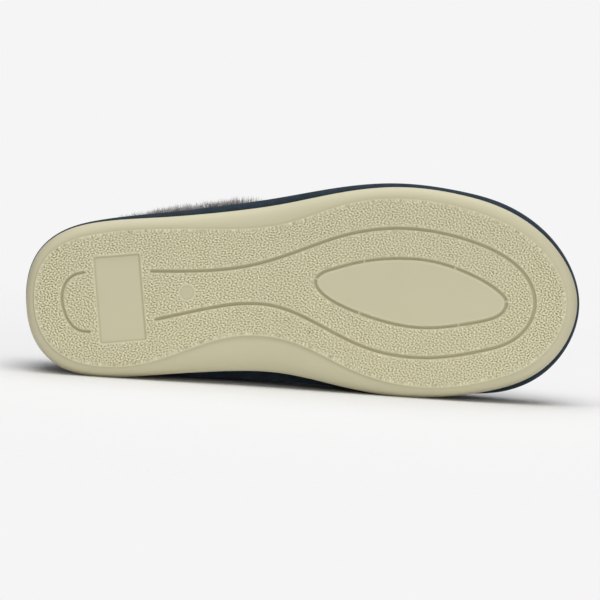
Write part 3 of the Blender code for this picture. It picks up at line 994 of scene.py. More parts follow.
@dataclass(frozen=True)
class Outsole:
    """Unit sole: a body with rim, side and recess, and a tread slab in two halves that carries the relief."""

    columns: int = 240
    ring_steps: int = 4
    lip_span: int = 5
    rungs: int = 720
    across: int = 260
    slab: float = 2.0
    sharp_from: float = math.radians(65)
    # Painted shade in the step beside the tread, and a painted highlight on the body's outer lip.
    step_painted_shade: float = 0.46
    rim_shade: float = 0.5
    lip_painted_highlight: float = 0.6
    tread_shade: float = 0.5
    lens_width: tuple[float, float] = (1.65, 1.15)
    loop_width: tuple[float, float] = (1.8, 1.2)
    heel_width: tuple[float, float] = (1.45, 0.95)
    lens_steps: int = 220
    loop_steps: int = 460
    heel_steps: int = 50
    groove_depth: float = 0.95
    # Painted shade in the grooves, darker towards their medial side.
    groove_painted_shade: float = 0.29
    groove_side_painted_shade: float = 0.16
    groove_ticks: float = 1.0
    groove_seed: int = 12
    groove_lip: float = 0.2
    # Painted highlight along the grooves' lips.
    groove_lip_painted_highlight: SoftLine = SoftLine(0.6, 0.5, 0.07)
    nick_width: float = 0.45
    # On a nick the groove's painted shade is taken back, mostly with a little painted highlight past it.
    nick_painted_light: float = 0.35
    nick_fill: float = 0.9
    crumb_wave: float = 1.06
    crumb_height: float = 0.12
    # The crumb's colour follows its height: grain tone, with painted shade in its pits and painted highlight
    # on its tops.
    crumb_tone_and_painted_light: float = 0.34
    crumb_painted_highlight: float = 0.16
    crumb_level: float = 0.5
    crumb_seed: int = 3
    tick_wave: float = 1.0
    tick_stretch: float = 0.25
    tick_share: float = 0.6
    edge_lip: float = 0.45
    edge_ticks: float = 1.2
    edge_seed: int = 11
    # Painted highlight along the tread's edge.
    edge_painted_highlight: SoftLine = SoftLine(0.35, 0.4, 0.12)
    panel_centre: tuple[float, float] = (48.2, -0.7)
    panel_size: tuple[float, float] = (23.8, 44.9)
    panel_round: float = 0.9
    panel_turn: float = math.radians(-4.7)
    panel_depth: float = 0.7
    panel_foot: float = -0.3
    panel_wall: float = 0.5
    panel_lip: float = 0.5
    # A raised rim round the field with a painted highlight, and painted shade at the foot of its wall inside.
    panel_rim: SoftLine = SoftLine(0.6, 0.55, 0.13, 0.05)
    panel_corner_painted_shade: SoftLine = SoftLine(-0.35, 0.4, -0.22)
    disc_centre: tuple[float, float] = (82.9, -3.9)
    disc_radius: float = 4.2
    disc_shade: float = -0.05
    disc_lip: float = 0.32
    # A raised ring round the disc with a painted highlight, and painted shade inside it.
    disc_ring: SoftLine = SoftLine(0.0, 0.32, 0.22, 0.1)
    disc_corner_painted_shade: SoftLine = SoftLine(-0.75, 0.35, -0.1)

    def body(self) -> bpy.types.Object:
        """Rings from under the tread over rim and side to the recess.

        Between the rows of the side's table each ring follows a cubic Hermite curve, whose slope at a row
        is half the way between that row's neighbours. The curve's own ends are straight, to stay crisp.

        Returns:
            The closed body, with painted shade at the step beside the tread and a painted highlight at the
            outer lip.
        """
        loop = LAST.sole_loop(self.columns)
        table = []
        for ring in SIDE_RINGS:
            base = LAST.tread_height if ring.level is Level.TREAD else LAST.top_height
            inset = loop[:, 2] * ring.rim_share + ring.inset
            table.append(LAST.raised_ring(loop, inset, lambda x: base(x) + ring.rise))
        knots = np.stack(table)
        rows = [knots[0], knots[1]]
        for i in range(1, len(knots) - 3):
            before, first, second, after = knots[i - 1 : i + 3]
            start = 0.5 * (second - before) if i > 2 else second - first
            end = 0.5 * (after - first) if i < len(knots) - 4 else second - first
            for t in np.arange(1, self.ring_steps + 1) / self.ring_steps:
                hermite = first * (2 * t**3 - 3 * t**2 + 1) + second * (3 * t**2 - 2 * t**3)
                rows.append(hermite + start * (t**3 - 2 * t**2 + t) + end * (t**3 - t**2))
        rows += [knots[-2], knots[-1]]
        loft = Loft()
        index = loft.add_grid(np.stack(rows), closed=True)
        loft.add_ladder(index[0])
        loft.add_ladder(index[-1])
        shades = np.full(len(rows), self.rim_shade)
        # Painted shade in the step's corner beside the tread, and a painted highlight along the outer lip.
        shades[: 2 + self.ring_steps] = self.step_painted_shade
        lip = 2 + self.lip_span * self.ring_steps
        shades[lip - 2 : lip + 2] = self.lip_painted_highlight
        return loft.make("sole_body", relief=np.repeat(shades, len(loop)))

    def grooves(self) -> tuple[Groove, ...]:
        """Leaf-shaped groove with its nicks, long open groove and the heel's short groove.

        Returns:
            The grooves, each on a dense line through the points of its route.
        """
        lens = even_points(spline(np.array(LENS_ROUTE), True), self.lens_steps)
        loop = even_points(spline(np.array(LOOP_ROUTE), False), self.loop_steps, keep_end=True)[1:-1]
        heel = even_points(spline(np.array(HEEL_ROUTE), False), self.heel_steps, keep_end=True)
        return (
            Groove(Trace(lens, True), *self.lens_width, NICKS),
            Groove(Trace(loop, False), *self.loop_width),
            Groove(Trace(heel, False), *self.heel_width),
        )

    def panel_gap(self, points: Array) -> Array:
        """Signed distance to the round-cornered plain field.

        It is the distance to a smaller field with sharp corners, less the corners' radius.

        Args:
            points: x and y of the tread's points.

        Returns:
            Distances, negative inside the field.
        """
        cos, sin = math.cos(self.panel_turn), math.sin(self.panel_turn)
        local = np.abs((points - np.array(self.panel_centre)) @ np.array([[cos, -sin], [sin, cos]]))
        local = local - np.array(self.panel_size) / 2.0 + self.panel_round
        outside = np.linalg.norm(np.clip(local, 0.0, None), axis=1)
        return outside + np.minimum(local.max(axis=1), 0.0) - self.panel_round

    def ticks_along(self, gap: Array, travel: Array, seed: int) -> Array:
        """Short strokes across a line: crumb over the travel and a stretched distance from the line."""
        return crumb_noise(travel, gap * self.tick_stretch, self.tick_wave, seed) * self.tick_share

    def carve(self, points: Array, rough: Array, plain: Array) -> tuple[Array, Array, Array, Array]:
        """Grooves with straight walls from mouth to foot, and each nick a bell-shaped bridge across.

        Beside a groove the crumb gives way to short strokes across it, and a lip stays plain, with a painted
        highlight along it.

        Args:
            points: x and y of the tread's points.
            rough: crumb of the tread without grooves.
            plain: share of plain rubber without grooves.

        Returns:
            Crumb and plain share with the grooves, the cut as a share of its depth, and painted shade and
            highlight.
        """
        carved = np.zeros(len(points))
        shade = np.zeros(len(points))
        for seed, groove in enumerate(self.grooves(), start=self.groove_seed):
            left, down, travel = groove.trace.measure(points)
            clear = np.abs(left) - groove.mouth / 2.0
            share = fade(clear, 0.5 * self.groove_ticks, self.groove_ticks)
            rough = (1.0 - share) * rough + share * self.ticks_along(left, travel, seed)
            plain = np.maximum(plain, fade(clear, self.groove_lip, self.groove_lip))
            # A painted highlight runs along each groove's plain lip.
            shade = shade + self.groove_lip_painted_highlight.shade * self.groove_lip_painted_highlight.across(clear)
            if groove.trace.closed:
                plain = np.maximum(plain, left > 0.0)
            cut = np.clip(2.0 * clear / (groove.foot - groove.mouth), 0.0, 1.0)
            # Painted shade in the groove, darker towards its medial side.
            shade = shade - cut * (self.groove_painted_shade + self.groove_side_painted_shade * down / groove.mouth)
            for nick in groove.nicks:
                _, _, at = groove.trace.measure(np.array([nick]))
                bridge = bell(travel - at, self.nick_width)
                # The bridge takes back the groove's painted shade, mostly with a little painted highlight
                # past it.
                shade = shade + cut * bridge * self.nick_painted_light
                cut = cut * (1.0 - self.nick_fill * bridge)
            carved = np.maximum(carved, cut)
        return rough, plain, carved, shade

    def relief(self, points: Array, edge: Trace) -> tuple[Array, Array]:
        """Depth of the tread's relief and its hollow-to-top value at each point.

        Crumb is an even random field, a little brighter on its tops by a share of its square. Its colour
        follows
        its height: grain tone, with painted shade in the pits and painted highlight on the tops. At the edge
        it gives way to short strokes across it. The leaf, the four-sided field, the disc and all lips are
        plain.

        Args:
            points: x and y of the tread's points.
            edge: the tread's edge.

        Returns:
            Depth into the sole in millimetres, and a value from 0 in hollows to 1 on tops.
        """
        rough = crumb_noise(points[:, 0], points[:, 1], self.crumb_wave, self.crumb_seed)
        inset, _, travel = edge.measure(points)
        share = fade(inset, self.edge_ticks, self.edge_ticks)
        rough = (1.0 - share) * rough + share * self.ticks_along(inset, travel, self.edge_seed)
        plain = fade(inset, 0.5 * self.edge_lip, self.edge_lip)
        rough, plain, carved, shade = self.carve(points, rough, plain)
        panel = self.panel_gap(points)
        plain = np.maximum(plain, fade(panel, self.panel_lip, self.panel_lip))
        disc = np.linalg.norm(points - np.array(self.disc_centre), axis=1) - self.disc_radius
        plain = np.maximum(plain, fade(disc, self.disc_lip, self.disc_lip))
        rough = rough * (1.0 - plain)
        # Grain tone that follows the crumb's height: painted shade in the pits and painted highlight on the
        # tops.
        speck = rough + self.crumb_painted_highlight * (rough**2 - self.crumb_level * (1.0 - plain) ** 2)
        depth = self.groove_depth * carved - self.crumb_height * rough
        depth = depth + self.panel_depth * fade(panel, self.panel_foot, self.panel_wall)
        value = self.tread_shade + self.crumb_tone_and_painted_light * speck + shade + self.disc_shade * (disc < 0.0)
        # Painted highlight on the field's raised rim, the disc's raised ring and the tread's edge, and
        # painted shade at the foot of the field's wall and inside the ring.
        beside_panel = ((self.panel_rim, panel), (self.panel_corner_painted_shade, panel))
        beside_disc = ((self.disc_ring, disc), (self.disc_corner_painted_shade, disc))
        for line, distance in (*beside_panel, *beside_disc, (self.edge_painted_highlight, inset)):
            depth = depth - line.height * line.across(distance)
            value = value + line.shade * line.across(distance)
        return depth, np.clip(value, 0.0, 1.0)

    def tread_grid(self) -> tuple[Array, Array]:
        """Grid of straight rungs across the tread, carved by the relief.

        Returns:
            Points, rung by rung, and their hollow-to-top values.
        """
        loop = LAST.sole_loop(self.rungs)
        rim = LAST.raised_ring(loop, loop[:, 2], LAST.tread_height)
        flat = rungs_across(rim[:, :2], self.across)
        depth, value = self.relief(flat, Trace(rim[::2, :2], True))
        grid = np.column_stack([flat, LAST.tread_height(flat[:, 0]) + depth])
        shape = (self.rungs + 1, self.across + 1)
        return grid.reshape(*shape, 3), value.reshape(shape)

    def tread_half(self, end: TreadEnd, grid: Array, value: Array) -> bpy.types.Object:
        """Closed slab under one half of the tread's grid: carved face, walls, flat back and a cut end.

        Args:
            end: the half.
            grid: points of the whole tread, rung by rung.
            value: hollow-to-top values of the grid.

        Returns:
            The half, with sharp edges round its face.
        """
        first, last = (round(share * self.rungs) for share in end.value)
        face = grid[first : last + 1]
        loft = Loft()
        index = loft.add_grid(face)
        backs = []
        for column in (0, -1):
            back = face[:, column].copy()
            back[:, 2] = LAST.tread_height(back[:, 0]) + self.slab
            backs.append(loft.add_row(back))
            loft.add_strip(index[:, column], backs[-1])
        loft.add_strip(*backs)
        cut = -1 if end is TreadEnd.HEEL else 0
        loft.faces.append([*index[cut].tolist(), int(backs[1][cut]), int(backs[0][cut])])
        shades = [value[first : last + 1].ravel(), np.full(2 * len(face), self.rim_shade)]
        half = loft.make(f"sole_tread_{end.name.lower()}", relief=np.concatenate(shades))
        half.data.set_sharp_from_angle(angle=self.sharp_from)
        return half

    def dress(self, finish: bpy.types.Material) -> None:
        """Builds the body and both halves of the tread.

        Args:
            finish: the rubber.
        """
        seat(self.body(), "outsole", finish)
        grid, value = self.tread_grid()
        for end in TreadEnd:
            seat(self.tread_half(end, grid, value), "outsole", finish)


@dataclass(frozen=True)
class Upper:
    """Felt upper on the last: an outer face of ribs from the sole's edge to the collar or the ridge."""

    half: int = 48
    collar_half: int = 29
    throat_blend: int = 11
    fine: int = 5
    wall: float = 2.6
    feather_inset: float = 2.6
    gap: float = 0.3
    bulge_rise: float = 11.0
    heel_ease: float = 0.65
    heel_ease_spread: float = 60.0
    toe_ease: float = 1.3
    toe_ease_spread: float = 24.0
    toe_ease_station: float = 247.0
    ease_reach: float = 25.0
    foot_from: float = math.radians(40)
    foot_to: float = math.radians(90)
    foot_steps: int = 7
    rib_steps: int = 30
    ridge_end: tuple[float, float, float] = (247.0, 0.6, 51.0)
    ridge_bow: float = 0.25
    side_share: float = 0.62
    crown_share: float = 0.58
    collar_share: float = 0.40
    collar_lean: float = math.radians(72)
    trim: float = 0.7
    crease_shoulder: float = 0.8
    crease_foot: float = 34.0
    crease_rise: float = 18.0
    lining: float = 1.6
    lining_gap: float = 0.1
    lining_turn_in: float = 8.0

    def ridge_line(self) -> tuple[Array, Array]:
        """Top of the vamp from the throat to the toe: straight in x, a square in y and a bowed fall in z.

        Returns:
            Points, and the slope along x at each.
        """
        throat = np.array(LAST.collar_throat)
        end = np.array(self.ridge_end)
        share = np.linspace(0.0, 1.0, (self.half - self.collar_half) * self.fine + 1)
        x = throat[0] + (end[0] - throat[0]) * share
        y = throat[1] + (end[1] - throat[1]) * share**2
        fall = (1.0 + self.ridge_bow) * share - self.ridge_bow * share**2
        z = throat[2] + (end[2] - throat[2]) * fall
        return np.column_stack([x, y, z]), np.gradient(z, x)

    def rib_ends(self) -> tuple[Array, Array]:
        """Ends of the ribs: the collar's lateral half, the ridge there and back, and the medial half.

        Returns:
            End of each rib, and the ridge's slope there.
        """
        count = self.collar_half * self.fine
        collar = LAST.collar_loop(count)
        ridge, slope = self.ridge_line()
        ends = np.vstack([collar[:count], ridge, ridge[-2::-1], collar[count + 1 :]])
        slopes = np.concatenate([np.full(count, slope[0]), slope])
        return ends, np.concatenate([slopes, slopes[-2:0:-1]])

    def ease(self, loop: Array) -> Array:
        """Fullness of the felt past the last: a bell at the heel's lateral side, one at the toe's medial.

        Args:
            loop: the sole's edge.

        Returns:
            Way out at each point.
        """
        heel = self.heel_ease * bell(loop[:, 0], self.ease_reach)
        toe = self.toe_ease * bell(loop[:, 0] - self.toe_ease_station, self.ease_reach)
        lateral = smooth_step(0.5 - loop[:, 1] / self.heel_ease_spread)
        medial = smooth_step(0.5 + loop[:, 1] / self.toe_ease_spread)
        return heel * lateral + toe * medial

    def vamp_weight(self) -> Array:
        """Smooth step from ribs that end at the collar's sides and back to ribs that end on the ridge.

        Returns:
            0 to 1 for each rib, as a column.
        """
        rank = np.arange(self.half * self.fine + 1) / self.fine
        side = smooth_step((rank - self.collar_half + self.throat_blend) / self.throat_blend)
        return np.concatenate([side, side[-2:0:-1]])[:, None]

    def rows(self) -> list[Array]:
        """Rows of points up the outer face.

        An arc leaves the sole's edge and reaches the bulge, and a cubic Bezier curve goes on from there,
        upright at first, to the collar's lean at the sides or the ridge's slope over the vamp.

        Returns:
            One array of points a row, from the sole up.
        """
        loop = LAST.sole_loop(self.half * self.fine)
        normals = outward(loop)
        inset = np.full(len(loop), self.feather_inset)
        foot = LAST.raised_ring(loop, inset, lambda x: LAST.top_height(x) + self.gap)
        reach = (loop[:, 3] + self.feather_inset + self.ease(loop))[:, None] * normals
        rows = []
        for angle in np.linspace(self.foot_from, self.foot_to, self.foot_steps):
            out = (math.sin(angle) - math.sin(self.foot_from)) / (1.0 - math.sin(self.foot_from))
            up = (math.cos(self.foot_from) - math.cos(angle)) / math.cos(self.foot_from)
            rise = np.full((len(loop), 1), self.bulge_rise * up)
            rows.append(foot + np.hstack([reach * out, rise]))
        bulge = rows[-1]
        ends, slopes = self.rib_ends()
        weight = self.vamp_weight()
        inward = ends[:, :2] - bulge[:, :2]
        span = np.linalg.norm(inward, axis=1)[:, None]
        inward = inward / span
        climb = (ends[:, 2] - bulge[:, 2])[:, None]
        over_vamp = np.column_stack([inward, inward[:, 0] * slopes])
        lean = np.full((len(loop), 1), math.sin(self.collar_lean))
        to_collar = np.hstack([inward * math.cos(self.collar_lean), lean])
        finish = unit((1.0 - weight) * to_collar + weight * over_vamp)
        back = (1.0 - weight) * self.collar_share * np.hypot(span, climb) + weight * self.crown_share * span
        shoulder = bulge + np.hstack([np.zeros_like(inward), self.side_share * climb])
        crown = ends - finish * back
        for share in np.linspace(0.0, 1.0, self.rib_steps + 1)[1:]:
            rest = 1.0 - share
            curve = rest**3 * bulge + 3.0 * rest**2 * share * shoulder
            rows.append(curve + 3.0 * rest * share**2 * crown + share**3 * ends)
        rows[-1] = ends + self.from_opening(finish, slopes, weight) * self.trim
        return rows

    def from_opening(self, finish: Array, slopes: Array, weight: Array) -> Array:
        """Way back from the collar on each rib: down the wall at the sides, forward over the vamp.

        Args:
            finish: direction in which each rib ends.
            slopes: the ridge's slope at each rib.
            weight: 0 on ribs to the collar's sides and back, 1 on ribs to the ridge.

        Returns:
            One direction a rib, and none on the ridge.
        """
        count = self.collar_half * self.fine
        normals = outward(LAST.collar_loop(count))
        back = np.zeros_like(finish)
        rank = np.arange(-count, count + 1)
        at = rank % (2 * count)
        ahead = np.column_stack([normals[at], normals[at, 0] * slopes[rank]])
        back[rank] = weight[rank] * ahead - (1.0 - weight[rank]) * finish[rank]
        return back

    def creased(self, points: Array) -> Array:
        """Depth of the vamp's soft creases: a bell with raised shoulders, fading to its ends and off the top.

        Args:
            points: points of the outer face.

        Returns:
            Way in at each point.
        """
        depth = np.zeros(len(points))
        for crease in CREASES:
            across = (points[:, 0] - crease.station - crease.slant * points[:, 1]) / crease.half_width
            along = 1.0 - smooth_step(np.abs(points[:, 1]) / crease.half_length)
            depth += crease.depth * (1.0 - self.crease_shoulder * across**2) * np.exp(-(across**2)) * along
        return depth * smooth_step((points[:, 2] - self.crease_foot) / self.crease_rise)

    def face(self, name: str, inset: float, turn_in: float = 0.0) -> bpy.types.Object:
        """Outer face moved in by an inset, creased, open at the collar and underneath.

        Args:
            name: the object's name.
            inset: way in from the outer face.
            turn_in: place inside the sole's edge to which the lower edge is turned under, or none.

        Returns:
            The face.
        """
        rows = self.rows()
        if turn_in:
            loop = LAST.sole_loop(self.half * self.fine)
            place = np.full(len(loop), turn_in)
            rows.insert(0, LAST.raised_ring(loop, place, lambda x: LAST.top_height(x) - inset))
        loft = Loft()
        loft.add_grid(np.stack(rows), closed=True)
        obj = loft.make(name, closed=False)
        places = points_of(obj.data)
        shoe = (places - POSE.origin) @ POSE.turn / MM
        depth = self.creased(shoe) + inset
        move_points(obj.data, places - points_of(obj.data, "normal") * depth[:, None] * MM)
        return obj

    def thicken(self, obj: bpy.types.Object, thickness: float) -> None:
        """Gives a face its wall, inwards, and applies it.

        Args:
            obj: the face.
            thickness: the wall's thickness.
        """
        wall = obj.modifiers.new("wall", "SOLIDIFY")
        wall.thickness = thickness * MM
        wall.offset = -1.0
        wall.use_quality_normals = True
        graph = bpy.context.evaluated_depsgraph_get()
        solid = bpy.data.meshes.new_from_object(obj.evaluated_get(graph))
        obj.modifiers.clear()
        obj.data = solid
        solid.name = obj.name

    def dress(self, felt: bpy.types.Material, fleece: bpy.types.Material) -> None:
        """Builds the felt wall and the fleece lining behind it.

        Args:
            felt: the wall's finish.
            fleece: the lining's finish.
        """
        wall = self.face("felt_upper", 0.0)
        self.thicken(wall, self.wall - 2.0 * self.lining_gap)
        seat(wall, "upper", felt)
        lining = self.face("fleece_lining", self.wall - self.lining_gap, self.lining_turn_in)
        self.thicken(lining, self.lining)
        seat(lining, None, fleece)


@dataclass(frozen=True)
class FurCollar:
    """Faux fur band over the collar: a knitted ring and locks of fibres, drawn with a fixed seed.

    A real fibre is about 0.04 mm thick. Fibres are drawn coarser and fewer, so that single ones show.
    """

    columns: int = 600
    section: int = 28
    path_half: int = 200
    half_height: float = 11.0
    half_thickness: float = 7.4
    shift: float = 2.2
    flare: float = 0.16
    overlap: float = 6.0
    backing_rise: float = 0.12
    backing_painted_shade: float = 0.8
    locks: int = 1500
    fibres: int = 12
    pieces: int = 2
    low_angle: float = math.radians(-58)
    high_angle: float = math.radians(238)
    root_depth: float = 2.6
    lift: tuple[float, float] = (5.6, 7.9)
    swell: float = 0.18
    swell_station: float = 117.0
    swell_reach: float = 12.0
    fall: tuple[float, float] = (-0.4, 1.4)
    sway: float = 0.9
    spread: float = 1.9
    own_way: float = 0.7
    stray: float = 0.4
    curl: tuple[float, float] = (0.1, 0.9)
    bend_at: float = 0.55
    bend_taper: float = 0.75
    thickness: float = 0.17
    thickness_range: tuple[float, float] = (0.7, 1.2)
    no_fibre_way: tuple[float, float, float] = (0.31, 0.52, 0.79)
    rises: tuple[float, float, float] = (0.05, 0.5, 1.0)
    lock_shades: tuple[float, float] = (0.6, 1.15)
    fibre_shades: tuple[float, float] = (0.8, 1.1)
    floor_gap: float = 0.15
    floor_range: tuple[float, float] = (0.5, 3.0)
    pressed_side: float = 0.5
    pressed_share: float = 0.35
    seed: int = 21

    def band(self) -> tuple[Array, Array, Array, Array]:
        """Middle line of the band, which is the collar raised and moved out, with its directions.

        Returns:
            Points, and the outward, upward and forward directions, at each column.
        """
        collar = LAST.collar_loop(self.path_half)
        path = even_points(np.vstack([collar, collar[:1]]), self.columns)
        normals = outward(path)
        out = np.column_stack([normals, np.zeros(self.columns)])
        up = unit(np.column_stack([normals * self.flare, np.ones(self.columns)]))
        along = unit(np.roll(path, -1, axis=0) - np.roll(path, 1, axis=0))
        return path + up * (self.half_height - self.overlap) + out * self.shift, out, up, along

    def on_band(self, column: Array, angle: Array) -> tuple[Array, Array, Array, Array]:
        """Points on the knitted ring, which is the band's oval drawn in by the depth of the roots.

        The oval is cosine times half thickness outwards plus sine times half height upwards.

        Args:
            column: place along the band, in columns.
            angle: place round the section, from outwards over the top.

        Returns:
            Points, normals, the way down the section from its top, and the way along the band.
        """
        middle, out, up, along = (part[column.astype(int) % self.columns] for part in self.band())
        cos, sin = np.cos(angle)[:, None], np.sin(angle)[:, None]
        points = middle + out * cos * (self.half_thickness - self.root_depth)
        points = points + up * sin * (self.half_height - self.root_depth)
        normals = unit(out * cos / self.half_thickness + up * sin / self.half_height)
        round_way = unit(up * cos * self.half_height - out * sin * self.half_thickness)
        return points, normals, -round_way * cos, along

    def fibre_lines(self, draw: np.random.Generator) -> tuple[Array, Array, Array, Array]:
        """Root, bend and tip of every fibre, and the lock that it belongs to.

        A lock leans from its root by a lift along the normal, a fall down the section and a sway along the
        band. It is lower where it is pressed on the floor, and higher by a bell at the swell. Its fibres
        start around that root, and their tips gather towards the lock's own.

        Args:
            draw: source of the drawn values.

        Returns:
            Roots, bends and tips, one row each, and the locks' ranks.
        """
        lock_column = draw.uniform(0, self.columns, self.locks)
        lock_angle = draw.uniform(self.low_angle, self.high_angle, self.locks)
        root, normal, down, along = self.on_band(lock_column, lock_angle)
        side = self.band()[1][lock_column.astype(int) % self.columns, 1]
        pressed = (side > self.pressed_side) & (np.cos(lock_angle) > 0.0)
        lift = draw.uniform(*self.lift, self.locks) * np.where(pressed, self.pressed_share, 1.0)
        lift = lift * (1.0 + self.swell * bell(root[:, 0] - self.swell_station, self.swell_reach))
        fall = draw.uniform(*self.fall, self.locks)
        sway = draw.normal(0.0, self.sway, self.locks)
        lean = normal * lift[:, None] + down * fall[:, None] + along * sway[:, None]
        count = self.locks * self.fibres
        of_lock = np.repeat(np.arange(self.locks), self.fibres)
        pitch = np.linalg.norm(np.diff(self.band()[0], axis=0), axis=1).mean()
        column = lock_column[of_lock] + draw.normal(0.0, self.spread / pitch, count)
        angle = lock_angle[of_lock] + draw.normal(0.0, self.spread / self.half_height, count)
        start, start_normal, _, _ = self.on_band(column, angle)
        shared = (root + lean)[of_lock] * (1.0 - self.own_way)
        end = shared + (start + lean[of_lock]) * self.own_way + draw.normal(0.0, self.stray, (count, 3))
        curl = draw.uniform(*self.curl, count)[:, None]
        bend = start * (1.0 - self.bend_at) + end * self.bend_at + start_normal * curl
        return start, bend, end, of_lock

    def fibre_piece(self, name: str, seed: int) -> bpy.types.Object:
        """One piece of fibres, each a slim three-sided spike bent once and kept off the floor.

        The spike's corners stand a thickness times cosine and sine of thirds of a turn off its line.

        Args:
            name: the piece's name.
            seed: seed of its draws.

        Returns:
            The object with its rise and shade attributes.
        """
        draw = np.random.default_rng(seed)
        start, bend, end, of_lock = self.fibre_lines(draw)
        count = len(start)
        flow = unit(end - start)
        one = unit(np.cross(flow, self.no_fibre_way))
        two = np.cross(flow, one)
        thick = self.thickness * draw.uniform(*self.thickness_range, count)[:, None]
        thirds = np.arange(3) * 2.0 * math.pi / 3.0
        corners = [(one * math.cos(turn) + two * math.sin(turn)) * thick for turn in thirds]
        feet = [start + corner for corner in corners]
        bends = [bend + corner * self.bend_taper for corner in corners]
        spikes = np.stack([*feet, *bends, end], axis=1)
        places = POSE.place(spikes.reshape(-1, 3))
        floor = self.floor_gap * MM * draw.uniform(*self.floor_range, len(places))
        places[:, 2] = np.maximum(places[:, 2], floor)
        sides = [[0, 1, 4], [0, 4, 3], [1, 2, 5], [1, 5, 4], [2, 0, 3], [2, 3, 5]]
        pattern = np.array(sides + [[3, 4, 6], [4, 5, 6], [5, 3, 6], [0, 2, 1]])
        faces = (np.arange(count)[:, None, None] * spikes.shape[1] + pattern[None]).reshape(-1, 3)
        mesh = bpy.data.meshes.new(name)
        mesh.from_pydata(places, [], faces)
        mesh.shade_smooth()
        lock_shade = draw.uniform(*self.lock_shades, self.locks)[of_lock]
        shades = lock_shade * draw.uniform(*self.fibre_shades, count)
        paint(mesh, "rise", np.tile(np.repeat(self.rises, (3, 3, 1)), count))
        paint(mesh, "shade", np.repeat(shades, spikes.shape[1]))
        return link(mesh)

    def backing(self) -> bpy.types.Object:
        """Knitted ring that the pile stands on: the drawn-in oval carried round the collar.

        Returns:
            The object with its rise and shade attributes.
        """
        column = np.repeat(np.arange(0, self.columns, 2), self.section)
        turns = np.linspace(0.0, 2.0 * math.pi, self.section, endpoint=False)
        points, _, _, _ = self.on_band(column, np.tile(turns, self.columns // 2))
        loft = Loft()
        index = loft.add_grid(points.reshape(-1, self.section, 3), closed=True)
        loft.add_band(index[-1], index[0])
        ring = loft.make("fur_backing")
        # The ring takes the roots' dark colour, darkened further: painted shade under the pile.
        paint(ring.data, "rise", np.full(len(ring.data.vertices), self.backing_rise))
        paint(ring.data, "shade", np.full(len(ring.data.vertices), self.backing_painted_shade))
        return ring

    def dress(self, finish: bpy.types.Material) -> None:
        """Builds the knitted ring and the fibre pieces.

        Args:
            finish: the fur.
        """
        seat(self.backing(), "collar_fur", finish)
        for rank in range(self.pieces):
            piece = self.fibre_piece(f"fur_locks_{rank + 1}", self.seed + rank)
            seat(piece, "collar_fur", finish)


@dataclass(frozen=True)
class Footbed:
    """Foam footbed in the sole's recess, fleece on top, crowned a little across."""

    half: int = 160
    across: int = 60
    inset: float = 7.0
    depth: float = 5.2
    proud: float = 1.2
    edge: float = 1.2
    crown: float = 0.8
    curl_wave: float = 3.4
    curl_height: float = 0.3
    curl_seed: int = 5

    def build(self) -> bpy.types.Object:
        """Closed pad: a grid of rungs on top, a rounded edge and a flat foot.

        The top stands proud of the sole's edge by a crown and curls, times a half wave across.

        Returns:
            The pad.
        """
        loop = LAST.sole_loop(self.half)
        top = LAST.raised_ring(loop, np.full(len(loop), self.inset + self.edge), LAST.top_height)
        flat = rungs_across(top[:, :2], self.across)
        bow = np.tile(np.sin(np.linspace(0.0, math.pi, self.across + 1)), self.half + 1)
        curls = crumb_noise(flat[:, 0], flat[:, 1], self.curl_wave, self.curl_seed) * self.curl_height
        rise = self.proud + (self.crown + curls) * bow
        face = np.column_stack([flat, LAST.top_height(flat[:, 0]) + rise])
        loft = Loft()
        index = loft.add_grid(face.reshape(self.half + 1, -1, 3))
        ring = np.concatenate([index[:, 0], index[-2:0:-1, -1]])
        for height in (self.proud - self.edge, -self.depth):
            inset = np.full(len(loop), self.inset)
            lower = loft.add_row(LAST.raised_ring(loop, inset, lambda x: LAST.top_height(x) + height))
            loft.add_band(ring, lower)
            ring = lower
        loft.add_ladder(ring)
        return loft.make("footbed")

    def dress(self, finish: bpy.types.Material) -> None:
        """Args:
            finish: the fleece.
        """
        pad = self.build()
        seat(pad, "insole", finish)


@dataclass(frozen=True)
class SoftLight:
    """Square soft light: its place on the floor's frame, its side in metres, its power and its aim."""

    name: str
    place: tuple[float, float, float]
    size: float
    power: float
    aim: tuple[float, float, float] = (0.0, 0.0, 0.05)

    def hang(self) -> None:
        """Puts the light into the scene, facing its aim."""
        lamp = bpy.data.lights.new(self.name, "AREA")
        lamp.size = self.size
        lamp.energy = self.power
        obj = bpy.data.objects.new(self.name, lamp)
        obj.location = self.place
        obj.visible_camera = False
        obj.rotation_euler = (Vector(self.aim) - Vector(self.place)).to_track_quat("-Z", "Y").to_euler()
        bpy.context.scene.collection.objects.link(obj)


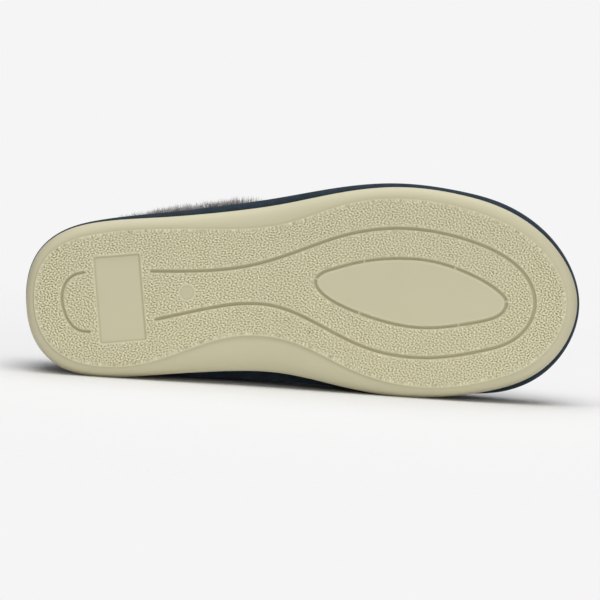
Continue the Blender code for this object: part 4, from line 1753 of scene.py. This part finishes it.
@dataclass(frozen=True)
class Studio:
    """Pale paper floor, soft lights and the camera, square to the sole as in the photo."""

    photo_middle: tuple[float, float, float] = (141.4, 0.0, 4.0)
    photo_width: float = 310.8
    distance: float = 3600.0
    sensor: float = 36.0
    seen_to: float = 100.0
    floor_radius: float = 1.6
    floor_rings: int = 24
    floor_columns: int = 96
    sky_colour: str = "FFFFFF"
    sky: float = 0.3
    backdrop: float = 0.913
    lights: tuple[SoftLight, ...] = (
        SoftLight("top_light", (-0.1, -0.45, 2.1), 1.9, 31.5),
        SoftLight("back_light", (0.15, 1.1, 1.8), 1.6, 13.0),
        SoftLight("front_light", (1.4, -3.6, 0.8), 1.8, 43.0),
    )

    def floor(self, finish: bpy.types.Material) -> None:
        """Round sheet of paper: rings of points at radius times cosine and sine.

        Args:
            finish: the paper.
        """
        turn = np.linspace(0.0, 2.0 * math.pi, self.floor_columns, endpoint=False)
        radii = np.linspace(0.0, self.floor_radius, self.floor_rings + 1)[1:, None]
        rings = np.stack([radii * np.cos(turn), radii * np.sin(turn), 0.0 * radii * turn], axis=2)
        points = np.vstack([[[0.0, 0.0, 0.0]], rings.reshape(-1, 3)])
        index = np.arange(1, len(points)).reshape(self.floor_rings, self.floor_columns)
        after = np.roll(index, -1, axis=1)
        quads = np.stack([index[:-1], index[1:], after[1:], after[:-1]], axis=2).reshape(-1, 4)
        middle = np.stack([np.zeros_like(index[0]), index[0], after[0]], axis=1)
        mesh = bpy.data.meshes.new("paper_floor")
        mesh.from_pydata(points, [], quads.tolist() + middle.tolist())
        mesh.shade_smooth()
        mesh.materials.append(finish)
        link(mesh)

    def camera(self) -> None:
        """Camera on the sole's normal, rolled so that the shoe's length lies level in the picture."""
        lens = bpy.data.cameras.new("camera")
        lens.sensor_width = self.sensor
        lens.lens = self.sensor * self.distance / self.photo_width
        lens.clip_end = self.seen_to
        obj = bpy.data.objects.new("camera", lens)
        ahead, medial, up = POSE.turn.T
        place = POSE.place(np.array(self.photo_middle)) - up * self.distance * MM
        turn = Matrix((ahead, -medial, -up)).transposed()
        obj.matrix_world = Matrix.Translation(place) @ turn.to_4x4()
        bpy.context.scene.collection.objects.link(obj)
        bpy.context.scene.camera = obj

    def sky_light(self) -> None:
        """Even white light from all round, seen by the camera as a brighter plain backdrop."""
        world = bpy.context.scene.world or bpy.data.worlds.new("studio")
        bpy.context.scene.world = world
        nodes = Nodes(world, "Background")
        path = nodes.add("ShaderNodeLightPath")
        level = nodes.add(
            "ShaderNodeMapRange", {0: path.outputs["Is Camera Ray"], 3: self.sky, 4: self.backdrop}
        )
        nodes.feed(nodes.shader, {"Color": linear(self.sky_colour), "Strength": level.outputs[0]})

    def set_up(self, paper: bpy.types.Material) -> None:
        """Puts up the floor, the sky light, the lights and the camera.

        Args:
            paper: the floor's finish.
        """
        bpy.context.scene.view_settings.view_transform = "Standard"
        self.floor(paper)
        self.sky_light()
        for light in self.lights:
            light.hang()
        self.camera()


def main() -> None:
    """Builds every piece and sets up the studio."""
    logging.basicConfig(level=logging.INFO, format="%(name)s: %(message)s")
    fleece = Fleece().build()
    Outsole().dress(MouldedRubber().build())
    Upper().dress(BrushedFelt().build(), fleece)
    FurCollar().dress(FurFibre().build())
    Footbed().dress(fleece)
    Studio().set_up(StudioPaper().build())


if __name__ == "__main__":
    main()
